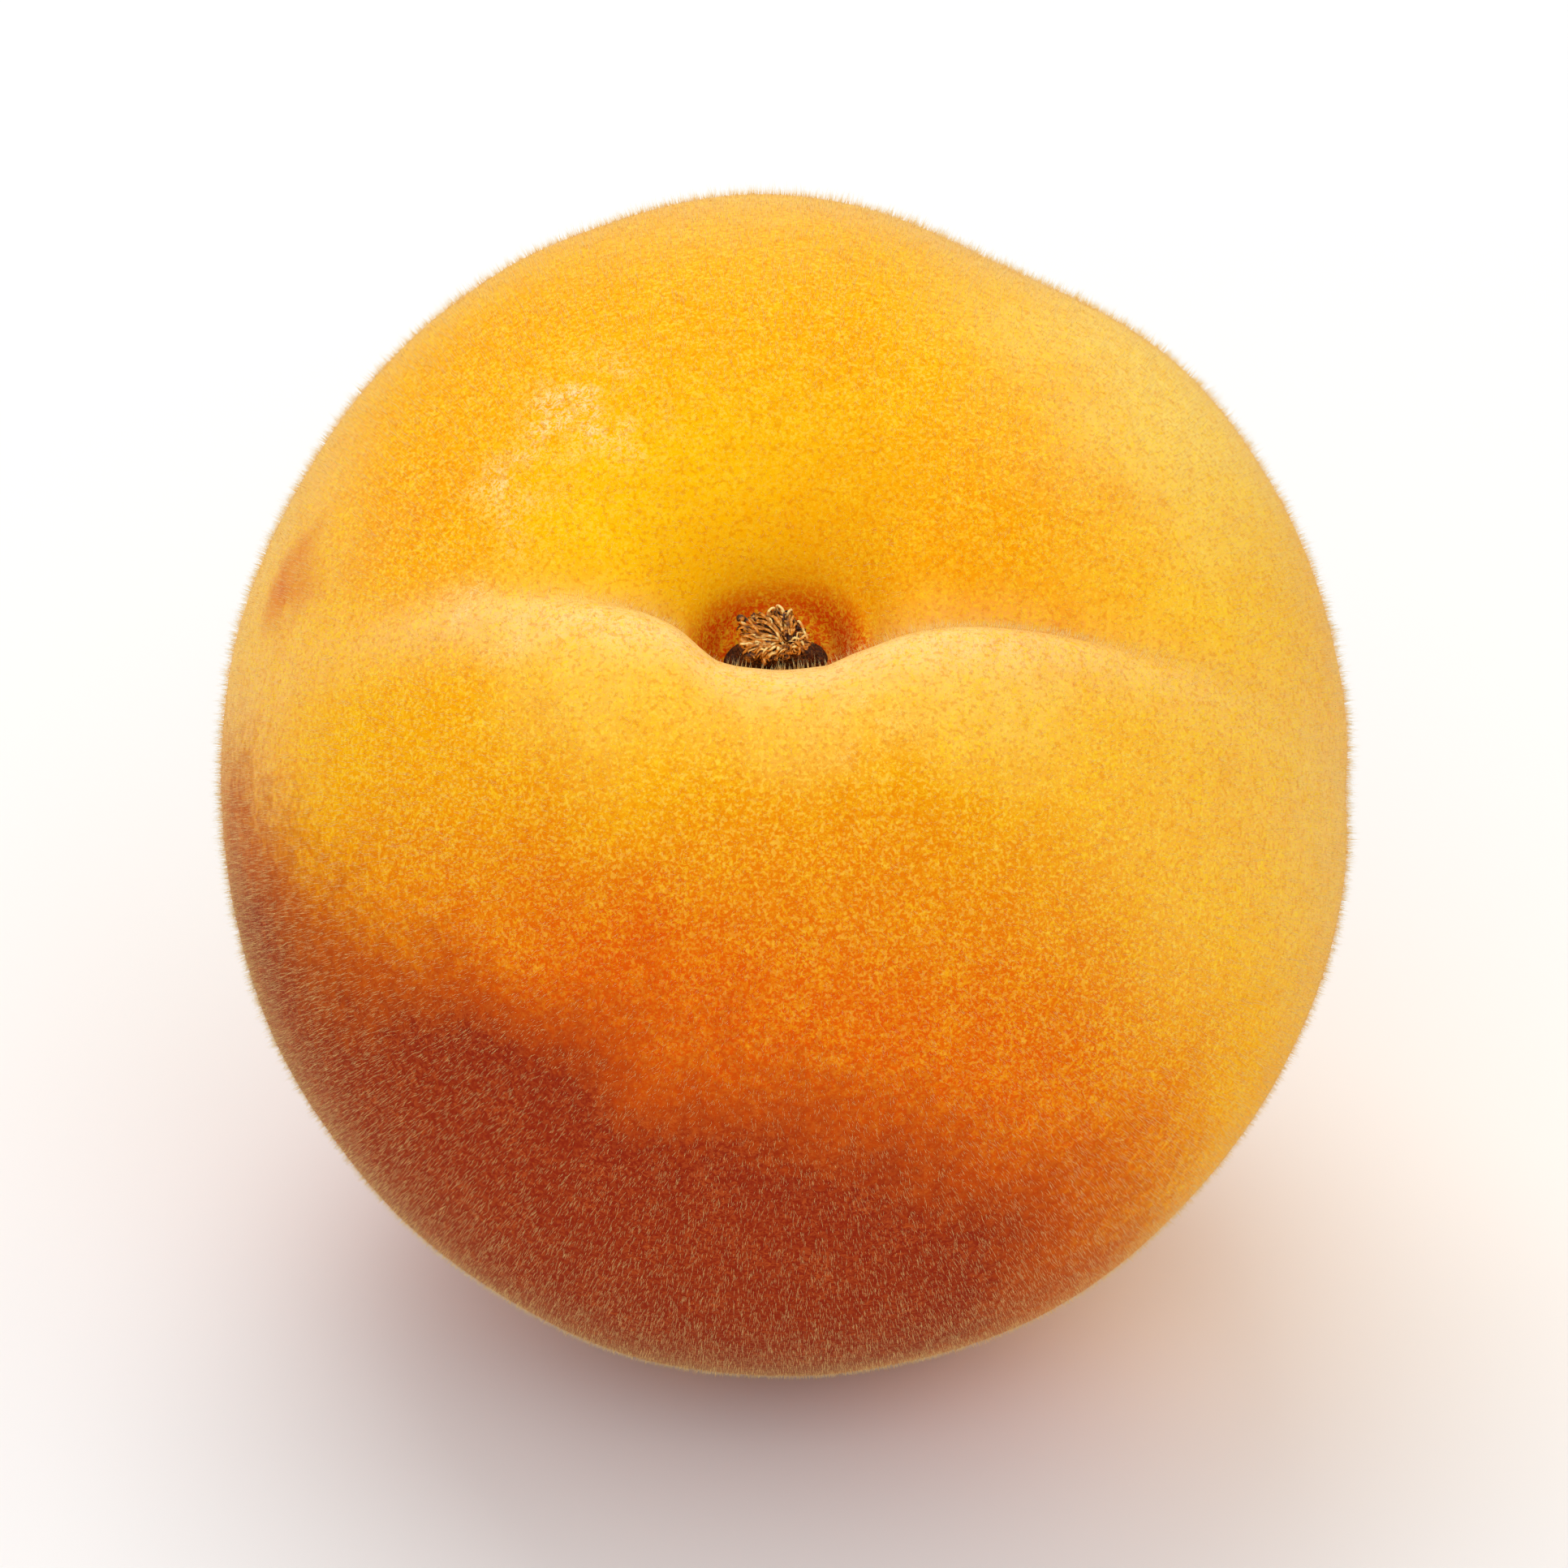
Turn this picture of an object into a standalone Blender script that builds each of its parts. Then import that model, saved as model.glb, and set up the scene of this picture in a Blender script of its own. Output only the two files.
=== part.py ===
"""Yellow peach, whole as picked, with the dried stub of its stalk in the stem cavity.

Units are metres and +Z is up. The peach lies on a small flat spot, with its stem end leaning towards -Y.
The origin is on the ground, under the middle of the peach's box.

The fruit's own frame, used by every shape function, has its origin inside the fruit on the stem axis:
+Z runs out of the stem cavity, +X lies in the plane of the suture, on the side where the suture is
deepest, and +Y is the middle of the far cheek. The near cheek is on the -Y side. Angles called polar are
0 at the stem and pi at the blossom end, and angles called around are azimuths from +X.
"""
import math

import bmesh
import bpy
from mathutils import Matrix, Vector

MM = 0.001

# Fruit: half widths, and heights above and below its widest level
SUTURE_HALF_WIDTH = 37.6 * MM
FAR_CHEEK_HALF_WIDTH = 39.9 * MM
NEAR_CHEEK_HALF_WIDTH = 39.6 * MM
SHOULDER_HEIGHT = 34.2 * MM
BLOSSOM_DEPTH = 37.0 * MM
SHOULDER_FULLNESS = 0.92
BLOSSOM_FULLNESS = 0.99

# Pose: the stem axis leans towards -Y, and a little towards -X
STEM_LEAN = math.radians(36.0)
SIDE_LEAN = math.radians(-2.0)

# Stem cavity: its floor, where the stub stands, and how wide the funnel opens on each side
CAVITY_DEPTH = 12.6 * MM
FLOOR_RADIUS = 3.9 * MM
FUNNEL_SIDE = 3.9 * MM
FUNNEL_FAR = 6.8 * MM
FUNNEL_NEAR = 1.35 * MM
FUNNEL_POWER = 1.15
FUNNEL_POWER_NEAR = 0.9
FUNNEL_ROUNDED_SHARE = 0.12

# Shoulder of the near cheek, which stands a little higher round the cavity
NEAR_SHOULDER_RISE = 0.9 * MM
NEAR_SHOULDER_REACH = 11.0 * MM
NEAR_SHOULDER_WIDTH = 10.0 * MM
NEAR_SHOULDER_START = 8.0 * MM

# Valley line: the foot of the near cheek's edge. It runs from a short fold at -X, round the near side of
# the stub, into the suture, which goes over the +X side to the blossom end.
SUTURE_SLANT = math.tan(math.radians(-2.2))
FOLD_SLANT = math.tan(math.radians(-6.8))
VALLEY_BOW = 2.1 * MM
BOW_REACH_SUTURE = 7.6 * MM
BOW_REACH_FOLD = 5.6 * MM
BOW_FADE_START = math.radians(69.0)
BOW_FADE_END = math.radians(92.0)

# Section across the valley line: the near cheek's steep wall and rounded edge, then a gentle far slope
NEAR_WALL = 1.3 * MM
NEAR_WALL_ON_SIDE = 3.0 * MM
NEAR_WALL_WIDENS = math.radians(29.0)
NEAR_WALL_WIDENED = math.radians(75.0)
NEAR_ROUNDING = 6.0 * MM
NEAR_ROUNDED_SHARE = 0.2
FAR_SLOPE_POWER = 1.25

# Suture: deep near the cavity, faint on the side, a little deeper again at the blossom end
SUTURE_DEPTH_AT_CAVITY = 4.3 * MM
SUTURE_DEPTH_ON_SIDE = 0.3 * MM
SUTURE_DEPTH_AT_TIP = 0.7 * MM
SUTURE_DEEPEST = math.radians(20.0)
SUTURE_DEEP_REACH = math.radians(27.0)
SUTURE_TIP_POLAR = math.radians(172.0)
SUTURE_TIP_REACH = math.radians(18.0)
SUTURE_FAR_SLOPE = 9.5 * MM
SUTURE_FAR_SLOPE_ON_SIDE = 2.9 * MM

# Short fold on the other side of the cavity, which fades out on the shoulder
FOLD_DEPTH = 2.5 * MM
FOLD_DEEPEST = math.radians(12.0)
FOLD_REACH = math.radians(19.0)
FOLD_FAR_SLOPE = 7.0 * MM
FOLD_START = 7.0 * MM

# Slight flat on the far cheek
FLAT_AZIMUTH = math.radians(63.0)
FLAT_POLAR = math.radians(64.0)
FLAT_HALF_WIDTH = math.radians(17.0)
FLAT_HALF_LENGTH = math.radians(30.0)
FLAT_DEPTH = 1.6 * MM

# Blossom end: a shallow dimple round a small dry tip
DIMPLE_RADIUS = 8.0 * MM
DIMPLE_DEPTH = 2.3 * MM
TIP_RADIUS = 1.7 * MM
TIP_HEIGHT = 1.6 * MM

# Flat spot that the fruit rests on: how far it is pressed in
REST_SINK = 1.15 * MM

# Mesh of the fruit: segments round the stem axis, rings along it, and how they crowd where the form is finest
FRUIT_SEGMENTS = 88
FRUIT_RINGS = 54
SUTURE_CROWDING = 0.25
CAVITY_CROWDING = 1.7
TIP_CROWDING = 1.35

# Stub of the stalk: a flared base, a waist and a frayed head. Its near side is squeezed by the near cheek.
STUB_GAP = 0.3 * MM
STUB_HEIGHT = 4.4 * MM
STUB_EDGE = 0.5 * MM
STUB_BASE_RADIUS = 3.45 * MM
STUB_WAIST_RADIUS = 2.1 * MM
STUB_HEAD_RADIUS = 2.7 * MM
STUB_NEAR_SHARE_AT_BASE = 0.5
STUB_NEAR_SHARE_AT_HEAD = 0.75
STUB_RIBS = 9
STUB_RIB_DEPTH = 0.22 * MM
STUB_FRAY = 0.35 * MM
STUB_SEGMENTS = 36
STUB_RINGS = 26

# Stub's outline, as shares of the way from the middle of its top to the middle of its foot
STUB_TOP_END = 0.3
STUB_SIDE_END = 0.8


def bell(distance, width):
    """Smooth bump: 1 at no distance, next to nothing past twice the width."""
    return math.exp(-(distance / width) ** 2)


def blend(value, start, end):
    """Smooth step: 0 at start, 1 at end."""
    share = min(1.0, max(0.0, (value - start) / (end - start)))
    return share * share * (3.0 - 2.0 * share)


def power(value, exponent):
    """Power that keeps the sign of its base."""
    return math.copysign(abs(value) ** exponent, value)


def body_point(polar, around):
    """Point on the plain body: a rounded form, fuller at the shoulders, with unlike cheeks."""
    fullness = BLOSSOM_FULLNESS + (SHOULDER_FULLNESS - BLOSSOM_FULLNESS) * blend(math.cos(polar), -0.4, 0.8)
    spread = abs(math.sin(polar)) ** fullness
    level = power(math.cos(polar), fullness)
    cheek = FAR_CHEEK_HALF_WIDTH if math.sin(around) > 0.0 else NEAR_CHEEK_HALF_WIDTH
    height = SHOULDER_HEIGHT if level > 0.0 else BLOSSOM_DEPTH
    x = SUTURE_HALF_WIDTH * spread * math.cos(around)
    y = cheek * spread * math.sin(around)
    return Vector((x, y, height * level))


def valley(x, polar):
    """Where the valley line runs, as a y for each x."""
    if x > 0.0:
        bow = bell(x, BOW_REACH_SUTURE)
        slant = SUTURE_SLANT * x
    else:
        bow = math.exp(-((x / BOW_REACH_FOLD) ** 4))
        slant = FOLD_SLANT * x
    return slant - VALLEY_BOW * bow * (1.0 - blend(polar, BOW_FADE_START, BOW_FADE_END))


def groove(across, near_wall, far_slope):
    """Section of a fold, 1 at its bottom. across is the distance past the valley line, towards +Y."""
    if across < 0.0:
        rounded = NEAR_ROUNDED_SHARE * bell(across, NEAR_ROUNDING)
        return rounded + (1.0 - NEAR_ROUNDED_SHARE) * bell(across, near_wall)
    return math.exp(-((across / far_slope) ** FAR_SLOPE_POWER))


def suture_depth(across, polar):
    """How far the skin lies inside the plain body at the suture."""
    at_cavity = bell(polar - SUTURE_DEEPEST, SUTURE_DEEP_REACH)
    at_tip = bell(polar - SUTURE_TIP_POLAR, SUTURE_TIP_REACH)
    depth = SUTURE_DEPTH_ON_SIDE + SUTURE_DEPTH_AT_CAVITY * at_cavity + SUTURE_DEPTH_AT_TIP * at_tip
    far_slope = SUTURE_FAR_SLOPE_ON_SIDE + (SUTURE_FAR_SLOPE - SUTURE_FAR_SLOPE_ON_SIDE) * at_cavity
    widened = blend(polar, NEAR_WALL_WIDENS, NEAR_WALL_WIDENED)
    near_wall = NEAR_WALL + (NEAR_WALL_ON_SIDE - NEAR_WALL) * widened
    return depth * groove(across, near_wall, far_slope)


def fold_depth(across, polar):
    """How far the skin lies inside the plain body at the short fold."""
    return FOLD_DEPTH * bell(polar - FOLD_DEEPEST, FOLD_REACH) * groove(across, NEAR_WALL, FOLD_FAR_SLOPE)


def flat_depth(polar, around):
    """How far the slight flat lies inside the plain body."""
    off_flat = math.remainder(around - FLAT_AZIMUTH, 2.0 * math.pi)
    return FLAT_DEPTH * bell(off_flat, FLAT_HALF_WIDTH) * bell(polar - FLAT_POLAR, FLAT_HALF_LENGTH)


def cavity_drop(x, y, across):
    """How far the skin drops along the stem axis in the funnel, whose near wall follows the valley line."""
    edge_y = y - min(0.0, across)
    reach = math.hypot(x, edge_y)
    far_share = (max(0.0, edge_y) / max(reach, MM)) ** 2
    width = FUNNEL_SIDE + (FUNNEL_FAR - FUNNEL_SIDE) * far_share
    section = math.exp(-((max(0.0, reach - FLOOR_RADIUS) / width) ** FUNNEL_POWER))
    if across < 0.0:
        rounded = FUNNEL_ROUNDED_SHARE * bell(across, NEAR_ROUNDING)
        wall = math.exp(-((-across / FUNNEL_NEAR) ** FUNNEL_POWER_NEAR))
        section *= rounded + (1.0 - FUNNEL_ROUNDED_SHARE) * wall
    return CAVITY_DEPTH * section


def skin_point(polar, around):
    """Point on the skin, in the fruit's own frame."""
    point = body_point(polar, around)
    reach = math.hypot(point.x, point.y)
    across = point.y - valley(point.x, polar)
    crease = suture_depth(across, polar) if point.x > 0.0 else fold_depth(across, polar)
    sunk = crease * blend(abs(point.x), 0.0, FOLD_START) + flat_depth(polar, around)
    drop = 0.0
    if polar < math.pi / 2.0:
        drop = cavity_drop(point.x, point.y, across)
        rise = NEAR_SHOULDER_RISE * bell(reach - NEAR_SHOULDER_REACH, NEAR_SHOULDER_WIDTH)
        point.z += rise * blend(-across, 0.0, NEAR_SHOULDER_START)
    else:
        point.z += DIMPLE_DEPTH * bell(reach, DIMPLE_RADIUS)
        point.z -= TIP_HEIGHT * bell(reach, TIP_RADIUS)
    point -= point.normalized() * sunk * blend(reach, FLOOR_RADIUS, 2.0 * FLOOR_RADIUS)
    point.z -= drop
    return point


def crowded_polar(share):
    """Polar angle of a ring, with the rings closer together at the stem cavity and at the tip."""
    from_stem = share**CAVITY_CROWDING
    from_tip = 1.0 - (1.0 - share) ** TIP_CROWDING
    return math.pi * (from_stem * (1.0 - share) + from_tip * share)


def crowded_azimuth(around):
    """Azimuth of a segment, with the segments closer together at the suture and the short fold."""
    return around - SUTURE_CROWDING * math.sin(2.0 * around)


def fruit_to_world():
    """Turns the fruit's own frame to the way the fruit lies, before it is set on the ground."""
    return Matrix.Rotation(SIDE_LEAN, 4, "Y") @ Matrix.Rotation(STEM_LEAN, 4, "X")


def press_flat(bm):
    """Presses the flat spot into the underside, and returns its height."""
    level = min(vert.co.z for vert in bm.verts) + REST_SINK
    for vert in bm.verts:
        vert.co.z = max(vert.co.z, level)
    return level


def sphere_mesh(segments, rings):
    """Unit sphere with its poles on Z, as a bmesh, with each vertex's polar angle and azimuth."""
    bm = bmesh.new()
    bmesh.ops.create_uvsphere(bm, u_segments=segments, v_segments=rings, radius=1.0)
    angles = []
    for vert in bm.verts:
        polar = math.acos(max(-1.0, min(1.0, vert.co.z)))
        angles.append((vert, polar, math.atan2(vert.co.y, vert.co.x)))
    return bm, angles


def fruit_mesh():
    """The fruit as a bmesh in world directions, with the height of its flat spot."""
    bm, angles = sphere_mesh(FRUIT_SEGMENTS, FRUIT_RINGS)
    turn = fruit_to_world()
    for vert, polar, around in angles:
        vert.co = turn @ skin_point(crowded_polar(polar / math.pi), crowded_azimuth(around))
    return bm, press_flat(bm)


def stub_outline(share):
    """Radius and height of the stub's side: share 0 is the middle of its top, 1 the middle of its foot."""
    if share < STUB_TOP_END:
        turned = share / STUB_TOP_END * math.pi / 2.0
        radius = STUB_HEAD_RADIUS * math.sin(turned)
        level = STUB_HEIGHT - STUB_EDGE * (1.0 - math.cos(turned))
    elif share < STUB_SIDE_END:
        down = (share - STUB_TOP_END) / (STUB_SIDE_END - STUB_TOP_END)
        radius = STUB_WAIST_RADIUS + (STUB_HEAD_RADIUS - STUB_WAIST_RADIUS) * bell(down, 0.35)
        radius += (STUB_BASE_RADIUS - STUB_WAIST_RADIUS) * blend(down, 0.35, 1.0)
        level = (STUB_HEIGHT - STUB_EDGE) * (1.0 - down) + STUB_EDGE * down
    else:
        turned = (share - STUB_SIDE_END) / (1.0 - STUB_SIDE_END) * math.pi / 2.0
        radius = STUB_BASE_RADIUS * math.cos(turned)
        level = STUB_EDGE * (1.0 - math.sin(turned) ** 0.6)
    return radius, max(0.0, level)


def stub_point(polar, around):
    """Point on the stub, in the fruit's own frame, with its foot on the cavity floor."""
    share = polar / math.pi
    radius, level = stub_outline(share)
    near_share = STUB_NEAR_SHARE_AT_HEAD
    near_share += (STUB_NEAR_SHARE_AT_BASE - STUB_NEAR_SHARE_AT_HEAD) * blend(share, 0.35, STUB_SIDE_END)
    radius *= 1.0 - (1.0 - near_share) * blend(-math.sin(around), 0.0, 1.0)
    on_side = blend(share, 0.1, STUB_TOP_END) * (1.0 - blend(share, 0.7, STUB_SIDE_END))
    rib = 0.5 + 0.5 * math.sin(STUB_RIBS * around + 0.8 * math.sin(3.0 * around))
    radius -= STUB_RIB_DEPTH * on_side * rib
    on_top = blend(share, 0.0, 0.08) * (1.0 - blend(share, 0.2, 0.42))
    fray = math.sin(5.0 * around + 1.3) * math.sin(34.0 * share)
    fray += 0.6 * math.sin(11.0 * around + 20.0 * share)
    level += STUB_FRAY * on_top * fray
    floor = SHOULDER_HEIGHT - CAVITY_DEPTH + STUB_GAP
    return Vector((radius * math.cos(around), radius * math.sin(around), floor + level))


def stub_mesh():
    """The stub as a bmesh in world directions."""
    bm, angles = sphere_mesh(STUB_SEGMENTS, STUB_RINGS)
    turn = fruit_to_world()
    for vert, polar, around in angles:
        vert.co = turn @ stub_point(polar, around)
    return bm


def plain_material(name, colour, roughness):
    """Principled material of one colour."""
    material = bpy.data.materials.new(name)
    material.use_nodes = True
    shader = material.node_tree.nodes["Principled BSDF"]
    shader.inputs["Base Color"].default_value = (*colour, 1.0)
    shader.inputs["Roughness"].default_value = roughness
    shader.inputs["Metallic"].default_value = 0.0
    return material


def add_piece(name, bm, shift, material, collection):
    """Turns a bmesh into a smooth-shaded object, set down by shift."""
    bmesh.ops.recalc_face_normals(bm, faces=bm.faces)
    mesh = bpy.data.meshes.new(name)
    bm.to_mesh(mesh)
    bm.free()
    mesh.shade_smooth()
    mesh.materials.append(material)
    piece = bpy.data.objects.new(name, mesh)
    piece.location = shift
    collection.objects.link(piece)


def main():
    for old in list(bpy.data.objects):
        bpy.data.objects.remove(old)
    collection = bpy.data.collections.new("yellow_peach")
    bpy.context.scene.collection.children.link(collection)

    fruit, ground = fruit_mesh()
    xs = [vert.co.x for vert in fruit.verts]
    ys = [vert.co.y for vert in fruit.verts]
    shift = Vector((-(min(xs) + max(xs)) / 2.0, -(min(ys) + max(ys)) / 2.0, -ground))
    skin = plain_material("peach_skin", (0.87, 0.42, 0.06), 0.75)
    wood = plain_material("dried_stalk", (0.22, 0.12, 0.05), 0.9)
    add_piece("peach", fruit, shift, skin, collection)
    add_piece("stem_stub", stub_mesh(), shift, wood, collection)


main()
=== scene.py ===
"""Yellow peach: skin, fuzz and stalk stub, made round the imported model, with a plain studio round it.

Lengths are metres and +Z is up. The fruit's own frame has its origin inside the fruit on the stem axis:
+Z runs out of the stem cavity, +X is the suture's side and +Y the middle of the far cheek. The near cheek
is on the -Y side. Angles called polar are 0 at the stem and pi at the blossom end, and angles called around
are azimuths.
"""

import math

import bmesh
import bpy
import numpy as np
from mathutils import Matrix, Vector, noise


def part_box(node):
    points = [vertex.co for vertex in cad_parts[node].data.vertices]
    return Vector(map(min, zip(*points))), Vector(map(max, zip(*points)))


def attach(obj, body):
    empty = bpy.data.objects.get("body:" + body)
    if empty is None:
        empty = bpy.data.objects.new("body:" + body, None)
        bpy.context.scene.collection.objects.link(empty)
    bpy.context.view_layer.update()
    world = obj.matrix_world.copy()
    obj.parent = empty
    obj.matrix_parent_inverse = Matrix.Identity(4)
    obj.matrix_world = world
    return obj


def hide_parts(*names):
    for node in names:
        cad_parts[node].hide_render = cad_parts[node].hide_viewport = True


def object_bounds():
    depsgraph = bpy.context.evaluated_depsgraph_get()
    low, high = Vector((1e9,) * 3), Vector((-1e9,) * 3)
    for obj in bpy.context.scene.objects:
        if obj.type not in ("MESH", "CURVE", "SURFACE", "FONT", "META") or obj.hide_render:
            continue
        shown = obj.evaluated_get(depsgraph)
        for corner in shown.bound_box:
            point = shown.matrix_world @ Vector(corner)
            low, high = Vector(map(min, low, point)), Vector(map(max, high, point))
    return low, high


bl_info = {
    "name": "Yellow Peach",
    "version": (1, 0, 0),
    "blender": (4, 5, 0),
    "location": "3D View > Sidebar > Peach",
    "description": "Whole yellow peach with fuzz, suture and the dried stub of its stalk",
    "category": "Add Mesh",
}

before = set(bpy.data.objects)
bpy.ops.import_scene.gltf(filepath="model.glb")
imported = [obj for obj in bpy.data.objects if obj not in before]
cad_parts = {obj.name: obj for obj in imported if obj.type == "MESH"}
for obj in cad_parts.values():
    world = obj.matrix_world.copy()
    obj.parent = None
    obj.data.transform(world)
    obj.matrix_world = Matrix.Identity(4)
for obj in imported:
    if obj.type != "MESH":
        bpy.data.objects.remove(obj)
CAD_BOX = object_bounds()
FRUIT_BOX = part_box("peach")

MM = 0.001

# Fruit: half widths, heights above and below its widest level, and how full its form is at each end
SUTURE_HALF_WIDTH = 37.6 * MM
FAR_CHEEK_HALF_WIDTH = 39.9 * MM
NEAR_CHEEK_HALF_WIDTH = 39.6 * MM
SHOULDER_HEIGHT = 34.2 * MM
BLOSSOM_DEPTH = 37.0 * MM
SHOULDER_FULLNESS = 0.92
BLOSSOM_FULLNESS = 0.99

# Cosines of the polar angles between which the fullness changes
FULLNESS_FROM = -0.4
FULLNESS_TO = 0.8

# Pose: the stem axis leans towards -Y, and a little towards -X
STEM_LEAN = math.radians(36.0)
SIDE_LEAN = math.radians(-2.0)
FRUIT_TURN = Matrix.Rotation(SIDE_LEAN, 3, "Y") @ Matrix.Rotation(STEM_LEAN, 3, "X")

# Stem cavity: its floor, where the stub stands, and how wide the funnel opens on each side
CAVITY_DEPTH = 12.6 * MM
FLOOR_RADIUS = 3.9 * MM
FUNNEL_SIDE = 3.9 * MM
FUNNEL_FAR = 6.8 * MM
FUNNEL_NEAR = 1.35 * MM
FUNNEL_POWER = 1.15
FUNNEL_POWER_NEAR = 0.9
FUNNEL_ROUNDED_SHARE = 0.12

# Shoulder of the near cheek, which stands a little higher round the cavity
NEAR_SHOULDER_RISE = 0.9 * MM
NEAR_SHOULDER_REACH = 11.0 * MM
NEAR_SHOULDER_WIDTH = 10.0 * MM
NEAR_SHOULDER_START = 8.0 * MM

# Valley line: the foot of the near cheek's edge, from the short fold at -X to the suture at +X
SUTURE_SLANT = math.tan(math.radians(-2.2))
FOLD_SLANT = math.tan(math.radians(-6.8))
VALLEY_BOW = 2.1 * MM
BOW_REACH_SUTURE = 7.6 * MM
BOW_REACH_FOLD = 5.6 * MM
BOW_FADE_START = math.radians(69.0)
BOW_FADE_END = math.radians(92.0)
VALLEY_ARCH = 0.55 * MM
ARCH_REACH = 17.5 * MM
ARCH_WIDTH = 8.0 * MM

# Section across the valley line: the near cheek's steep wall and rounded edge, then a gentle far slope
NEAR_WALL = 1.3 * MM
NEAR_WALL_ON_SIDE = 3.0 * MM
NEAR_WALL_WIDENS = math.radians(29.0)
NEAR_WALL_WIDENED = math.radians(75.0)
NEAR_ROUNDING = 6.0 * MM
NEAR_ROUNDED_SHARE = 0.2
FAR_SLOPE_POWER = 1.25

# Suture: deep near the cavity, faint on the side, a little deeper again at the blossom end
SUTURE_DEPTH_AT_CAVITY = 4.3 * MM
SUTURE_DEPTH_ON_SIDE = 0.3 * MM
SUTURE_DEPTH_AT_TIP = 0.7 * MM
SUTURE_DEEPEST = math.radians(20.0)
SUTURE_DEEP_REACH = math.radians(27.0)
SUTURE_TIP_POLAR = math.radians(172.0)
SUTURE_TIP_REACH = math.radians(18.0)
SUTURE_FAR_SLOPE = 9.5 * MM
SUTURE_FAR_SLOPE_ON_SIDE = 2.9 * MM

# Short fold on the other side of the cavity, which fades out on the shoulder
FOLD_DEPTH = 2.5 * MM
FOLD_DEEPEST = math.radians(12.0)
FOLD_REACH = math.radians(19.0)
FOLD_FAR_SLOPE = 7.0 * MM
FOLD_START = 7.0 * MM

# Slight flat on the far cheek
FLAT_AZIMUTH = math.radians(63.0)
FLAT_POLAR = math.radians(64.0)
FLAT_HALF_WIDTH = math.radians(17.0)
FLAT_HALF_LENGTH = math.radians(30.0)
FLAT_DEPTH = 1.6 * MM

# Blossom end: a shallow dimple round a small dry tip
DIMPLE_RADIUS = 8.0 * MM
DIMPLE_DEPTH = 2.3 * MM
TIP_RADIUS = 1.7 * MM
TIP_HEIGHT = 1.6 * MM

# Flat spot that the fruit rests on: how far it is pressed in
REST_SINK = 1.15 * MM

# How the mesh's rings and segments crowd where the form is finest
SUTURE_CROWDING = 0.25
CAVITY_CROWDING = 1.7
TIP_CROWDING = 1.35

# Stub of the stalk, which stands on the cavity's floor
STUB_GAP = 0.3 * MM
STUB_FLOOR = SHOULDER_HEIGHT - CAVITY_DEPTH + STUB_GAP
STUB_HEIGHT = 4.4 * MM
STUB_EDGE = 0.5 * MM
STUB_BASE_RADIUS = 3.45 * MM
STUB_WAIST_RADIUS = 2.1 * MM
STUB_HEAD_RADIUS = 2.7 * MM
STUB_NEAR_SHARE_AT_BASE = 0.5
STUB_NEAR_SHARE_AT_HEAD = 0.75

# Shares down the stub's outline where its top and its side end, and where its waist starts
STUB_TOP_END = 0.3
STUB_SIDE_END = 0.8
STUB_WAIST = 0.35

# Roughness of the stub's wood: its width, and its share of the radius
ROUGH_SIZE = 0.55 * MM
ROUGH_SHARE = 0.04

# How much a crease counts as a hollow, and the hollows over which the skin's unevenness fades out
CREASE_SHARE = 0.5
CALM_FROM = 0.3
CALM_TO = 0.8

# Painted highlight along the near cheek's edge, a pale band: its width, and how far from the stem it
# reaches
EDGE_HIGHLIGHT_BAND = 2.6 * MM
EDGE_HIGHLIGHT_REACH = math.radians(42.0)

# Fuzz: none round the stub, sparse by the cavity, full further out, and none where the fruit is pressed
BARE_REACH = 6.2 * MM
FULL_REACH = 17.0 * MM
CAVITY_SHARE = 0.3
PRESSED_HEIGHT = 0.12 * MM

# Hairs are shorter below a height, down to a share at the ground, and their tips keep clear of it
SHORT_SHARE = 0.4
SHORT_HEIGHT = 34.0 * MM
TIP_CLEARANCE = 0.05 * MM

# The most that a normal points up or down before another way is crossed with it, and a nudge that keeps
# two directions from being the same
STEEP = 0.9
NUDGE = 0.01

# Quarters of the fuzz: which way each lies from the stem axis along X and Y
FUZZ_PARTS = {
    "fuzz_far_left": (-1.0, 1.0),
    "fuzz_far_right": (1.0, 1.0),
    "fuzz_near_left": (-1.0, -1.0),
    "fuzz_near_right": (1.0, -1.0),
}


def colour(red, green, blue):
    """Linear colour with full alpha, from the 0 to 255 values of a screen colour."""
    linear = []
    for value in (red, green, blue):
        share = value / 255.0
        linear.append(share / 12.92 if share <= 0.04045 else ((share + 0.055) / 1.055) ** 2.4)
    return (*linear, 1.0)


def bell(distance, width):
    """Smooth bump: 1 at no distance, next to nothing past twice the width."""
    return np.exp(-((distance / width) ** 2))


def blend(value, start, end):
    """Smooth step: 0 at start, 1 at end."""
    share = np.clip((value - start) / (end - start), 0.0, 1.0)
    return share * share * (3.0 - 2.0 * share)


def unit(rows):
    """Rows of vectors, each brought to a length of 1."""
    return rows / np.linalg.norm(rows, axis=1, keepdims=True)


# Shape of the skin


def body_points(polar, around):
    """Points on the plain body, one row each: a rounded form, fuller at the shoulders, of unlike cheeks."""
    cosine = np.cos(polar)
    to_shoulder = blend(cosine, FULLNESS_FROM, FULLNESS_TO)
    fullness = BLOSSOM_FULLNESS + (SHOULDER_FULLNESS - BLOSSOM_FULLNESS) * to_shoulder
    spread = np.abs(np.sin(polar)) ** fullness
    level = np.sign(cosine) * np.abs(cosine) ** fullness
    cheek = np.where(np.sin(around) > 0.0, FAR_CHEEK_HALF_WIDTH, NEAR_CHEEK_HALF_WIDTH)
    height = np.where(level > 0.0, SHOULDER_HEIGHT, BLOSSOM_DEPTH)
    x = SUTURE_HALF_WIDTH * spread * np.cos(around)
    y = cheek * spread * np.sin(around)
    return np.stack((x, y, height * level), axis=-1)


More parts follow.
